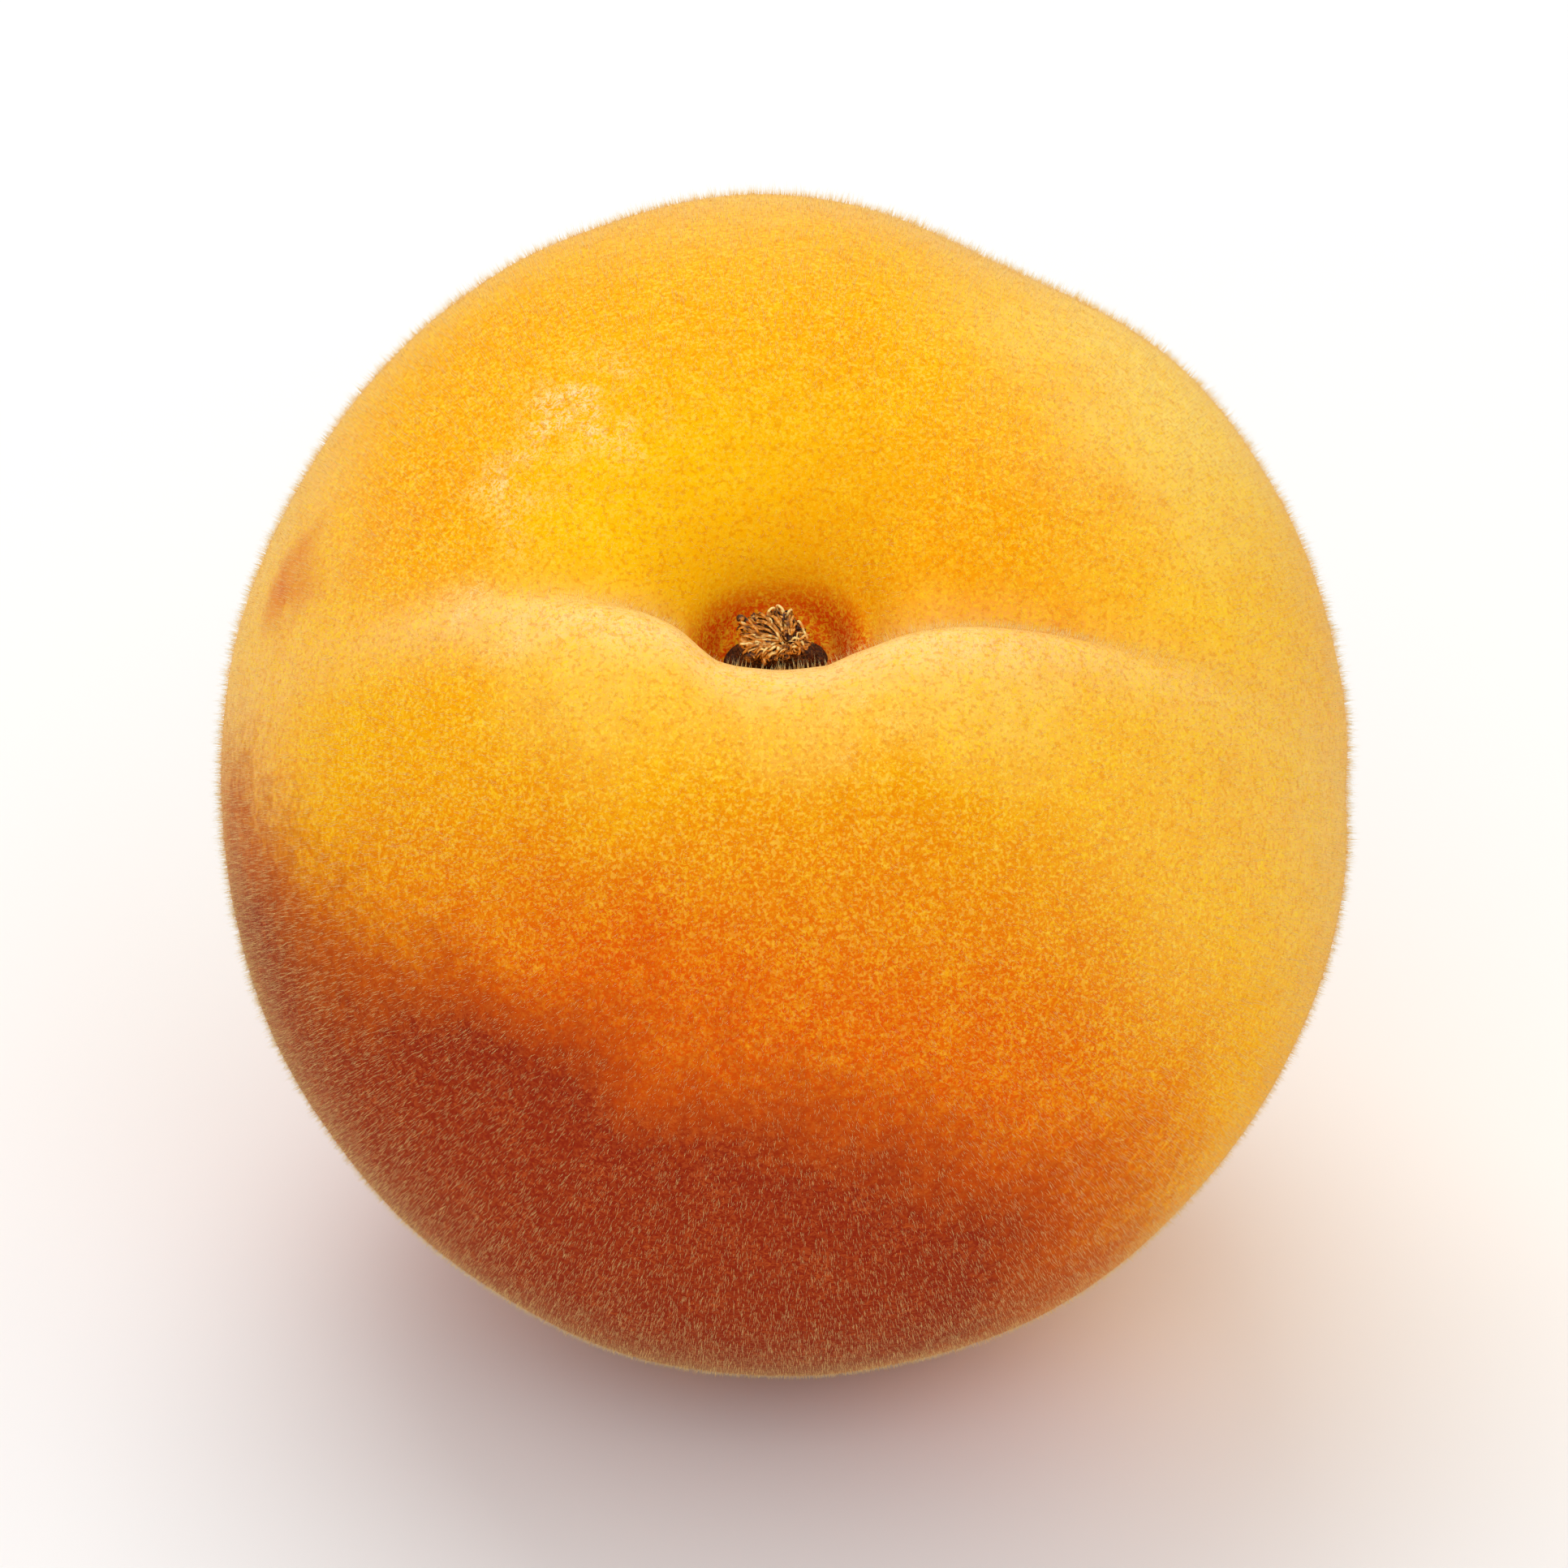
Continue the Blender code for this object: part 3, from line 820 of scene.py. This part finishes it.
def speckle_mask(tree, given):
    """Speckles of a given size, as a mask from 0 to 1 that Low and High cut out of a noise."""
    scale = math_of(tree, "DIVIDE", 1.0, given["Size"])
    grain = noise_of(tree, given["Position"], scale, given["Detail"])
    return smooth_cut(tree, grain, given["Low"], given["High"])


def strand_mask(tree, given):
    """Short curved strands of a given size and width, as a mask of thin lines broken by gaps."""
    scale = math_of(tree, "DIVIDE", 1.0, given["Size"])
    wave = noise_of(tree, given["Position"], scale, 1.0, Distortion=1.2)
    off = math_of(tree, "ABSOLUTE", math_of(tree, "SUBTRACT", wave, 0.5))
    gaps = noise_of(tree, given["Position"], times(tree, scale, 1.3), 1.0)
    return times(tree, ranged(tree, off, given["Width"], 0.0), ranged(tree, gaps, 0.42, 0.56))


def patch_mask(tree, given):
    """A soft round patch on the fruit, as a mask: 1 within Reach of Centre, 0 past Soft more."""
    both = {0: given["Direction"], 1: vector_of(tree, "NORMALIZE", given["Centre"])}
    facing = place(tree, "ShaderNodeVectorMath", both, operation="DOT_PRODUCT").outputs["Value"]
    end = math_of(tree, "ADD", given["Reach"], given["Soft"])
    return smooth_cut(tree, math_of(tree, "ARCCOSINE", facing), end, given["Reach"])


def speckles(tree, position, size, low, high, detail=2.0):
    """A Speckle group's mask."""
    inputs = {"Position": position, "Size": size, "Detail": detail, "Low": low, "High": high}
    return mask_from(tree, "Speckle", speckle_mask, inputs)


def strands(tree, position, size, width):
    """A Strands group's mask."""
    inputs = {"Position": position, "Size": size, "Width": width}
    return mask_from(tree, "Strands", strand_mask, inputs)


def patches(tree, direction, places):
    """The sum of several Patch groups' masks, each given as its centre, reach, soft edge and strength."""
    total = None
    for centre, reach, soft, strength in places:
        inputs = {
            "Direction": direction,
            "Centre": centre,
            "Reach": math.radians(reach),
            "Soft": math.radians(soft),
        }
        mask = times(tree, mask_from(tree, "Patch", patch_mask, inputs), strength)
        total = mask if total is None else math_of(tree, "ADD", total, mask)
    return total


def new_material(name):
    """A material with its tree, its Principled shader and each point's position."""
    material = bpy.data.materials.new(name)
    material.use_nodes = True
    tree = material.node_tree
    position = place(tree, "ShaderNodeTexCoord").outputs["Object"]
    return material, tree, tree.nodes["Principled BSDF"], position


# How widely and how much the edges of patches stray
SWIRL_SIZE = 9.0 * MM
SWIRL_SHARE = 0.26

# Grain of the skin: how wide each kind of speckle or strand is
CLOUD_SIZE = 16.0 * MM
STRAND_SIZE = 0.54 * MM
FINE_STRAND_SIZE = 0.37 * MM
CLUSTER_SIZE = 3.2 * MM
WORN_SIZE = 2.4 * MM
PALE_DOT_SIZE = 0.26 * MM
DARK_DOT_SIZE = 0.33 * MM
MOTTLE_SIZE = 1.6 * MM
BLUSH_GRAIN_SIZE = 0.7 * MM

# Width of the grain on the hairs, the wood, the fibres and the floor
HAIR_GRAIN_SIZE = 2.0 * MM
BARK_GRAIN_SIZE = 0.5 * MM
FINE_BARK_SIZE = 0.16 * MM
FIBRE_GRAIN_SIZE = 0.35 * MM
FLOOR_CLOUD_SIZE = 120.0 * MM
FLOOR_SHADE = 0.985

# Depth of the relief that the shaders add
SKIN_RELIEF = 0.05 * MM
BARK_RELIEF = 0.12 * MM
FIBRE_RELIEF = 0.06 * MM

# Patches on the skin: a direction from the fruit's origin, degrees of reach and of soft edge, and strength
# Blush: the red of the sunny side, strongest low on the left, where its dark colour also carries painted
# shade
BLUSH_PATCHES = (
    ((-0.70, -0.58, -0.42), 16.0, 32.0, 1.0),
    ((-0.97, -0.16, -0.12), 4.0, 26.0, 0.58),
    ((-0.24, -0.86, -0.44), 15.0, 32.0, 0.9),
    ((0.12, -0.76, -0.64), 14.0, 36.0, 0.7),
    ((-0.55, 0.35, -0.75), 10.0, 44.0, 0.7),
)
STREAK_PATCHES = (
    ((-0.85, -0.13, 0.51), 1.5, 4.5, 0.5),
    ((-0.88, -0.15, 0.45), 1.0, 4.0, 0.4),
)
WARM_PATCHES = (
    ((0.48, -0.30, 0.82), 4.0, 16.0, 0.6),
    ((-0.67, -0.21, 0.71), 1.0, 11.0, 0.5),
    ((0.35, 0.20, -0.92), 30.0, 30.0, 0.8),
)
# Deeper orange low at the front: partly the skin's own colour, partly painted shade where the lower front
# faces down, away from the light
LOW_SHADE_PATCHES = (
    ((0.05, -0.97, -0.22), 20.0, 34.0, 0.95),
    ((-0.50, -0.84, 0.10), 12.0, 20.0, 0.45),
)
CLEAR_PATCHES = (
    ((-0.25, -0.40, 0.88), 5.0, 24.0, 0.95),
    ((0.70, -0.24, 0.67), 3.0, 22.0, 0.6),
)
PALE_PATCHES = (
    ((-0.34, -0.15, 0.93), 2.5, 7.0, 1.0),
    ((-0.42, -0.12, 0.90), 1.5, 5.0, 0.8),
    ((-0.50, -0.27, 0.82), 2.0, 6.5, 0.9),
    ((-0.60, -0.42, 0.68), 1.5, 4.5, 0.8),
    ((-0.50, -0.54, 0.67), 1.5, 5.0, 0.7),
    ((0.10, -0.68, 0.70), 4.0, 12.0, 0.5),
)
# Pale yellow parts; the first three lie along the near cheek's crest and are painted highlight there
BUTTER_AND_HIGHLIGHT_PATCHES = (
    ((-0.36, -0.66, 0.66), 4.0, 11.0, 0.35),
    ((0.0, -0.74, 0.67), 4.0, 10.0, 0.35),
    ((0.36, -0.66, 0.66), 4.0, 12.0, 0.45),
    ((0.66, 0.14, 0.74), 4.0, 28.0, 0.85),
    ((0.80, -0.50, 0.33), 2.0, 34.0, 0.3),
)
# Painted sheen and highlight on the rims: pale cream where backlit down shows round the outline, laid into
# the skin's colour
RIM_SHEEN_PATCHES = (
    ((0.0, 0.85, 0.53), 10.0, 46.0, 0.7),
    ((0.60, 0.66, 0.45), 4.0, 38.0, 0.5),
    ((-0.80, 0.50, 0.30), 4.0, 38.0, 0.5),
    ((0.98, -0.15, 0.10), 2.0, 30.0, 0.4),
    ((-0.97, -0.18, -0.05), 3.0, 22.0, 0.5),
    ((-0.93, -0.05, 0.35), 4.0, 26.0, 0.4),
)


def patch_direction(tree, position):
    """Each point's direction from the fruit's origin, which strays a little to make patches uneven."""
    way = vector_of(tree, "NORMALIZE", vector_of(tree, "SUBTRACT", position, tuple(FRUIT_ORIGIN)))
    inputs = {"Vector": position, "Scale": 1.0 / SWIRL_SIZE, "Detail": 3.0}
    swirl = place(tree, "ShaderNodeTexNoise", inputs).outputs["Color"]
    centred = vector_of(tree, "SUBTRACT", swirl, (0.5, 0.5, 0.5))
    wander = vector_of(tree, "MULTIPLY", centred, (SWIRL_SHARE, SWIRL_SHARE, SWIRL_SHARE))
    return vector_of(tree, "NORMALIZE", vector_of(tree, "ADD", way, wander))


def skin_material(settings):
    """Matt velvety skin: golden and mottled, with a red blush, pale patches and an orange cavity. Painted
    shade low at the front, in the cavity and on the blush, painted highlight along the near cheek's crest
    and painted sheen on the rims are laid into its colour.
    """
    material, tree, shader, position = new_material("peach_skin")
    direction = patch_direction(tree, position)
    hollow = kept_value(tree, "hollow")
    # Painted shade low at the front, partly the skin's own deeper orange
    low = patches(tree, direction, LOW_SHADE_PATCHES)

    broad = speckles(tree, position, CLOUD_SIZE, 0.35, 0.68)
    ground_layers = (
        (times(tree, broad, 0.6), settings.amber),
        (patches(tree, direction, CLEAR_PATCHES), settings.clear),
        (patches(tree, direction, WARM_PATCHES), settings.orange),
        (low, settings.ember_and_shade),
        # pale yellow parts, with painted highlight along the near cheek's crest
        (patches(tree, direction, BUTTER_AND_HIGHLIGHT_PATCHES), settings.butter),
        # painted sheen and highlight on the rims
        (patches(tree, direction, RIM_SHEEN_PATCHES), settings.cream),
        # painted highlight along the near cheek's edge
        (times(tree, kept_value(tree, "edge"), 0.85), settings.cream),
        # Deeper orange in the creases and round the stub at the bottom of the cavity: partly the skin's own
        # colour, partly painted shade in these hollows
        (times(tree, ranged(tree, hollow, 0.72, 0.97), 0.6), settings.orange),
        (ranged(tree, hollow, 0.85, 1.0), settings.cavity_orange_and_shade),
    )
    ground = layered(tree, settings.gold, ground_layers)

    fine_strands = times(tree, strands(tree, position, FINE_STRAND_SIZE, 0.11), 0.8)
    lines = math_of(tree, "MAXIMUM", strands(tree, position, STRAND_SIZE, 0.10), fine_strands)
    cluster = speckles(tree, position, CLUSTER_SIZE, 0.35, 0.7, 3.0)
    line_share = math_of(tree, "ADD", 0.55, times(tree, cluster, 0.45))
    worn = speckles(tree, position, WORN_SIZE, 0.40, 0.62, 3.0)
    rubbed = times(tree, times(tree, patches(tree, direction, PALE_PATCHES), worn), 1.2)
    pale_dots = speckles(tree, position, PALE_DOT_SIZE, 0.52, 0.64, 1.0)
    dark_dots = speckles(tree, position, DARK_DOT_SIZE, 0.52, 0.70, 1.0)
    mottle = speckles(tree, position, MOTTLE_SIZE, 0.4, 0.7)
    calmed = math_of(tree, "SUBTRACT", 1.0, times(tree, math_of(tree, "MINIMUM", low, 1.0), 0.6))
    dot_share = times(tree, ranged(tree, hollow, 0.05, 0.5, 0.55, 0.15), calmed)
    grain_layers = (
        (times(tree, lines, line_share), settings.fleck),
        # more of the painted shade low at the front
        (times(tree, low, 0.5), settings.ember_and_shade),
        (times(tree, lines, rubbed), settings.cream),
        (times(tree, pale_dots, dot_share), settings.speck),
        (times(tree, dark_dots, 0.34), settings.rust),
        (times(tree, mottle, 0.16), settings.orange),
    )
    grained = layered(tree, ground, grain_layers)

    blush_grain = speckles(tree, position, BLUSH_GRAIN_SIZE, 0.3, 0.65, 3.0)
    uneven_red = times(tree, math_of(tree, "SUBTRACT", blush_grain, 0.5), 0.18)
    reddened = math_of(tree, "ADD", patches(tree, direction, BLUSH_PATCHES), uneven_red)
    early = times(tree, ranged(tree, reddened, 0.05, 0.65), 0.75)
    late = times(tree, ranged(tree, reddened, 0.18, 1.15), 0.9)
    # The blush, whose dark red also carries painted shade low on the left
    blush_layers = (
        (early, settings.ember_and_shade),
        (late, settings.blush_and_shade),
        (times(tree, times(tree, times(tree, lines, late), line_share), 0.5), settings.streak),
        (patches(tree, direction, STREAK_PATCHES), settings.streak),
    )

    relief = math_of(tree, "ADD", lines, times(tree, mottle, 0.8))
    inputs = {
        "Base Color": layered(tree, grained, blush_layers),
        "Roughness": ranged(tree, pale_dots, 0.0, 1.0, 0.62, 0.85),
        "Normal": bumped(tree, relief, 0.35, SKIN_RELIEF),
        "Sheen Weight": settings.sheen,
        "Sheen Roughness": 0.2,
        "Sheen Tint": settings.cream,
        "Specular IOR Level": 0.02,
    }
    fill(tree, shader, inputs)
    return material


def fuzz_material(settings):
    """Pale, dry hairs."""
    material, tree, shader, position = new_material("peach_fuzz")
    dryness = speckles(tree, position, HAIR_GRAIN_SIZE, 0.3, 0.7)
    inputs = {
        "Base Color": settings.colour,
        "Roughness": ranged(tree, dryness, 0.0, 1.0, 0.5, 0.8),
        "Specular IOR Level": 0.3,
    }
    fill(tree, shader, inputs)
    return material


def wood_material(settings):
    """Dark, dry wood of the stub's core."""
    material, tree, shader, position = new_material("dried_stalk")
    grain = speckles(tree, position, BARK_GRAIN_SIZE, 0.35, 0.65, 5.0)
    fine = speckles(tree, position, FINE_BARK_SIZE, 0.4, 0.7, 3.0)
    high_up = times(tree, kept_value(tree, "up"), 0.7)
    layers = ((grain, settings.brown), (times(tree, fine, high_up), settings.tan))
    relief = math_of(tree, "ADD", grain, times(tree, fine, 0.5))
    inputs = {
        "Base Color": layered(tree, settings.dark, layers),
        "Roughness": 0.7,
        "Normal": bumped(tree, relief, 0.7, BARK_RELIEF),
    }
    fill(tree, shader, inputs)
    return material


def fibre_material(settings):
    """Torn fibres from brown to straw, by the tone that each keeps, which carries painted highlight and
    painted shade as well.
    """
    material, tree, shader, position = new_material("dried_fibres")
    fine = speckles(tree, position, FIBRE_GRAIN_SIZE, 0.35, 0.65, 3.0)
    uneven_tone = times(tree, math_of(tree, "SUBTRACT", fine, 0.5), 0.5)
    toned = math_of(tree, "ADD", kept_value(tree, "tone"), uneven_tone)
    low, high = ranged(tree, toned, 0.1, 0.6), ranged(tree, toned, 0.7, 1.15)
    inputs = {
        "Base Color": layered(tree, settings.brown, ((low, settings.tan), (high, settings.straw_and_highlight))),
        "Roughness": 0.5,
        "Normal": bumped(tree, fine, 0.6, FIBRE_RELIEF),
    }
    fill(tree, shader, inputs)
    return material


def floor_material(settings):
    """Plain pale floor with a faint unevenness in its finish."""
    material, tree, shader, position = new_material("pale_floor")
    cloud = speckles(tree, position, FLOOR_CLOUD_SIZE, 0.3, 0.7)
    darker = (*(FLOOR_SHADE * part for part in settings.floor[:3]), 1.0)
    fill(tree, shader, {"Base Color": mixed(tree, cloud, settings.floor, darker), "Roughness": 0.7})
    return material


# Settings


def length_setting(name, description, default):
    """A setting for a length."""
    kind = {"unit": "LENGTH", "precision": 6}
    return bpy.props.FloatProperty(name=name, description=description, default=default, **kind)


def number_setting(name, description, default):
    """A setting for a plain number."""
    return bpy.props.FloatProperty(name=name, description=description, default=default)


def share_setting(name, description, default):
    """A setting for a share from none to all."""
    return bpy.props.FloatProperty(name=name, description=description, default=default, min=0.0, max=1.0)


def count_setting(name, description, default, least=0):
    """A setting for a whole number that is no less than least."""
    return bpy.props.IntProperty(name=name, description=description, default=default, min=least)


def colour_setting(name, description, default):
    """A setting for a colour."""
    return bpy.props.FloatVectorProperty(
        name=name, description=description, default=default, size=4, min=0.0, max=1.0, subtype="COLOR"
    )


class PEACH_PG_skin(bpy.types.PropertyGroup):
    """Sizes and colours of the skin."""

    segments: count_setting("Segments", "Faces round the stem axis", 360, 24)
    rings: count_setting("Rings", "Faces from stem to blossom end", 240, 16)
    swell: length_setting("Swell", "Height of the slow unevenness", 0.18 * MM)
    swell_size: length_setting("Swell size", "Width of the slow unevenness", 14.0 * MM)
    pore: length_setting("Pore", "Height of the fine unevenness", 0.015 * MM)
    pore_size: length_setting("Pore size", "Width of the fine unevenness", 1.8 * MM)
    gold: colour_setting("Gold", "Main ground colour", colour(248, 175, 4))
    amber: colour_setting("Amber", "Warmer clouds in the ground", colour(247, 160, 4))
    clear: colour_setting("Clear yellow", "Clean yellow in and by the cavity", colour(255, 196, 2))
    # Orange: mottled parts, and in the creases part of the painted shade there
    orange: colour_setting("Orange", "Mottled orange parts", colour(244, 146, 4))
    # Ember: the deeper orange at the blush's edge, and the painted shade low at the front
    ember_and_shade: colour_setting("Ember", "Deeper orange low at the front", colour(222, 86, 4))
    # Deep orange: partly the skin's colour at the bottom of the cavity, partly painted shade there
    cavity_orange_and_shade: colour_setting("Deep orange", "Skin at the bottom of the cavity", colour(228, 74, 3))
    # Blush: the sunny side's red, made darker so that it also carries painted shade low on the left
    blush_and_shade: colour_setting("Blush", "Sunny side", colour(128, 27, 16))
    streak: colour_setting("Streak", "Small reddish streaks", colour(222, 110, 50))
    rust: colour_setting("Rust", "Fine dark dots", colour(222, 112, 4))
    fleck: colour_setting("Fleck", "Fine golden strands and dots", colour(255, 210, 36))
    speck: colour_setting("Speck", "Fine pale dots", colour(255, 214, 80))
    # Butter: pale yellow parts, and the painted highlight along the near cheek's crest
    butter: colour_setting("Butter", "Pale yellow parts", colour(255, 222, 120))
    # Cream: pale fuzzy patches, and also the painted sheen on the rims and the painted highlight along the
    # near cheek's edge
    cream: colour_setting("Cream", "Pale fuzzy patches", colour(255, 220, 152))
    sheen: share_setting("Sheen", "Velvet of the down", 0.6)


class PEACH_PG_fuzz(bpy.types.PropertyGroup):
    """Sizes and colour of the hairs."""

    hairs: count_setting("Hairs", "Hairs in each of the four parts", 47000, 10)
    length: length_setting("Length", "Usual length of a hair", 0.48 * MM)
    longest: length_setting("Longest", "Longest hair", 1.0 * MM)
    length_spread: number_setting("Spread", "How unlike the lengths are", 0.35)
    width: length_setting("Width", "Width at the root", 0.028 * MM)
    root_sink: length_setting("Root", "How far the root is sunk", 0.04 * MM)
    lean_least: number_setting("Least lean", "Degrees from upright", 0.0)
    lean_most: number_setting("Most lean", "Degrees from upright", 22.0)
    seed: count_setting("Seed", "Seed of the random draws", 7)
    colour: colour_setting("Colour", "Colour of the hairs", colour(255, 221, 146))


class PEACH_PG_stub(bpy.types.PropertyGroup):
    """Sizes and colours of the stub."""

    segments: count_setting("Segments", "Faces round the stub", 120, 12)
    rings: count_setting("Rings", "Faces from top to foot", 80, 8)
    ribs: count_setting("Ribs", "Ribs round the core", 14, 3)
    rib_depth: length_setting("Rib depth", "Depth between the ribs", 0.2 * MM)
    crack_depth: length_setting("Crack depth", "Depth of the cracks", 0.15 * MM)
    head_trim: share_setting("Head trim", "How much slimmer the core is at its head", 0.36)
    far_trim: share_setting("Far trim", "How much slimmer its foot is behind", 0.42)
    head_sink: length_setting("Head sink", "How far the core lies under the fibres", 0.45 * MM)
    roughness: length_setting("Roughness", "Height of the torn top", 0.16 * MM)
    fibres: count_setting("Fibres", "Frayed fibres over the head", 92, 1)
    fibre_points: count_setting("Fibre points", "Points along a fibre", 22, 4)
    fibre_radius: length_setting("Fibre radius", "Usual radius of a fibre", 0.085 * MM)
    fibre_drop: length_setting("Fibre drop", "How far fibres hang down the side", 1.6 * MM)
    crumple: length_setting("Crumple", "How high the fibres buckle", 0.5 * MM)
    sway: length_setting("Sway", "How far the fibres wave sideways", 0.2 * MM)
    gather_x: length_setting("Gather X", "Where the fibres come together", 0.9 * MM)
    gather_y: length_setting("Gather Y", "Where the fibres come together", -0.65 * MM)
    seed: count_setting("Seed", "Seed of the random draws", 11)
    dark: colour_setting("Dark", "Dark bark", colour(36, 12, 4))
    # Brown: the bark's colour, and on the fibres the lowest tone, partly painted shade in the gaps
    brown: colour_setting("Brown", "Brown bark", colour(64, 23, 5))
    tan: colour_setting("Tan", "Golden tan fibres", colour(220, 138, 30))
    # Straw: the palest fibres, partly painted highlight
    straw_and_highlight: colour_setting("Straw", "Palest fibres", colour(255, 230, 150))


class PEACH_PG_stage(bpy.types.PropertyGroup):
    """The camera, the light and the floor."""

    elevation: bpy.props.FloatProperty(
        name="Elevation",
        description="Camera's height over the horizon",
        default=math.radians(32.0),
        subtype="ANGLE",
    )
    distance: length_setting("Distance", "From the fruit to the camera", 1.19)
    sensor: number_setting("Sensor", "Sensor's width in millimetres", 36.0)
    lens: number_setting("Lens", "Focal length in millimetres", 410.0)
    floor_size: length_setting("Floor size", "Side of the floor", 6.0)
    floor: colour_setting("Floor", "Colour of the floor", colour(246, 245, 243))
    sky: number_setting("Sky", "Light from all round", 0.75)
    key: number_setting("Key", "Power of the lamp above and behind", 2.4)
    fill: number_setting("Fill", "Power of the lamp at the front", 2.3)


# Operators


class PEACH_OT_skin(bpy.types.Operator):
    """Makes the skin, in place of the fruit's plain solid"""

    bl_idname = "peach.skin"
    bl_label = "Skin"

    def execute(self, context):
        settings = context.scene.peach_skin
        add_piece("skin", make_skin(settings), skin_material(settings), "peach")
        return {"FINISHED"}


class PEACH_OT_fuzz(bpy.types.Operator):
    """Grows the down on the skin, as one piece for each quarter of the fruit"""

    bl_idname = "peach.fuzz"
    bl_label = "Fuzz"

    def execute(self, context):
        settings = context.scene.peach_fuzz
        rng = np.random.default_rng(settings.seed)
        material = fuzz_material(settings)
        skin = bpy.data.objects["skin"].data
        for name, (side, cheek) in FUZZ_PARTS.items():
            roots, normals = skin_samples(skin, settings.hairs, side, cheek, rng)
            points, faces = hair_arrays(roots, normals, settings, rng)
            add_piece(name, make_mesh(name, points, faces), material)
        return {"FINISHED"}


class PEACH_OT_stub(bpy.types.Operator):
    """Makes the stub's woody core and the frayed fibres over its head"""

    bl_idname = "peach.stub"
    bl_label = "Stub"

    def execute(self, context):
        settings = context.scene.peach_stub
        wood = make_stub_wood(settings)
        add_piece("stub_wood", wood, wood_material(settings), "stem_stub")
        add_piece("stub_fibres", make_fibres(settings), fibre_material(settings))
        return {"FINISHED"}


class PEACH_OT_stage(bpy.types.Operator):
    """Sets up the floor, the light and the camera"""

    bl_idname = "peach.stage"
    bl_label = "Stage"

    def execute(self, context):
        settings = context.scene.peach_stage
        scene = context.scene
        middle = (Vector(CAD_BOX[0]) + Vector(CAD_BOX[1])) / 2.0
        add_floor(settings)
        add_lamp("key", KEY_PLACE, middle, KEY_SIZE, settings.key)
        add_lamp("fill", FILL_PLACE, middle, FILL_SIZE, settings.fill)
        world = bpy.data.worlds.new("white_room")
        world.use_nodes = True
        background = world.node_tree.nodes["Background"]
        fill(world.node_tree, background, {"Strength": settings.sky, "Color": (1.0, 1.0, 1.0, 1.0)})
        scene.world = world
        scene.view_settings.view_transform = "Standard"
        add_camera(settings, middle)
        return {"FINISHED"}


# The lamps: where each stands, and the side of its square
KEY_PLACE = Vector((-0.12, 0.42, 0.72))
KEY_SIZE = 0.55
FILL_PLACE = Vector((0.05, -0.75, 0.55))
FILL_SIZE = 0.8


def add_floor(settings):
    """The floor, just under the fruit."""
    bm = bmesh.new()
    bmesh.ops.create_grid(bm, x_segments=8, y_segments=8, size=settings.floor_size / 2.0)
    mesh = bpy.data.meshes.new("floor")
    bm.to_mesh(mesh)
    bm.free()
    mesh.materials.append(floor_material(settings))
    floor = bpy.data.objects.new("floor", mesh)
    bpy.context.scene.collection.objects.link(floor)


def add_lamp(name, place_at, target, size, power):
    """A square soft lamp that faces the target."""
    lamp = bpy.data.lights.new(name, "AREA")
    lamp.size = size
    lamp.energy = power
    holder = bpy.data.objects.new(name, lamp)
    holder.location = place_at
    holder.rotation_euler = (target - place_at).to_track_quat("-Z", "Y").to_euler()
    bpy.context.scene.collection.objects.link(holder)


def add_camera(settings, target):
    """The camera, in front of the fruit and above it."""
    data = bpy.data.cameras.new("camera")
    data.sensor_width = settings.sensor
    data.lens = settings.lens
    camera = bpy.data.objects.new("camera", data)
    back = Vector((0.0, -math.cos(settings.elevation), math.sin(settings.elevation)))
    camera.location = target + back * settings.distance
    camera.rotation_euler = (-back).to_track_quat("-Z", "Y").to_euler()
    bpy.context.scene.collection.objects.link(camera)
    bpy.context.scene.camera = camera


class PEACH_PT_panel(bpy.types.Panel):
    """Lists the steps that make the peach"""

    bl_idname = "PEACH_PT_panel"
    bl_label = "Yellow Peach"
    bl_space_type = "VIEW_3D"
    bl_region_type = "UI"
    bl_category = "Peach"

    def draw(self, context):
        for operator in ("peach.skin", "peach.fuzz", "peach.stub", "peach.stage"):
            self.layout.operator(operator)


CLASSES = (
    PEACH_PG_skin,
    PEACH_PG_fuzz,
    PEACH_PG_stub,
    PEACH_PG_stage,
    PEACH_OT_skin,
    PEACH_OT_fuzz,
    PEACH_OT_stub,
    PEACH_OT_stage,
    PEACH_PT_panel,
)
SETTINGS = {
    "peach_skin": PEACH_PG_skin,
    "peach_fuzz": PEACH_PG_fuzz,
    "peach_stub": PEACH_PG_stub,
    "peach_stage": PEACH_PG_stage,
}


def register():
    """Registers the classes and adds the settings to the scene."""
    for each in CLASSES:
        bpy.utils.register_class(each)
    for name, group in SETTINGS.items():
        setattr(bpy.types.Scene, name, bpy.props.PointerProperty(type=group))


def unregister():
    """Takes the settings and the classes away again."""
    for name in SETTINGS:
        delattr(bpy.types.Scene, name)
    for each in reversed(CLASSES):
        bpy.utils.unregister_class(each)


def main():
    """Makes everything with the settings as they stand."""
    register()
    bpy.ops.peach.skin()
    bpy.ops.peach.fuzz()
    bpy.ops.peach.stub()
    bpy.ops.peach.stage()


if __name__ == "__main__":
    main()
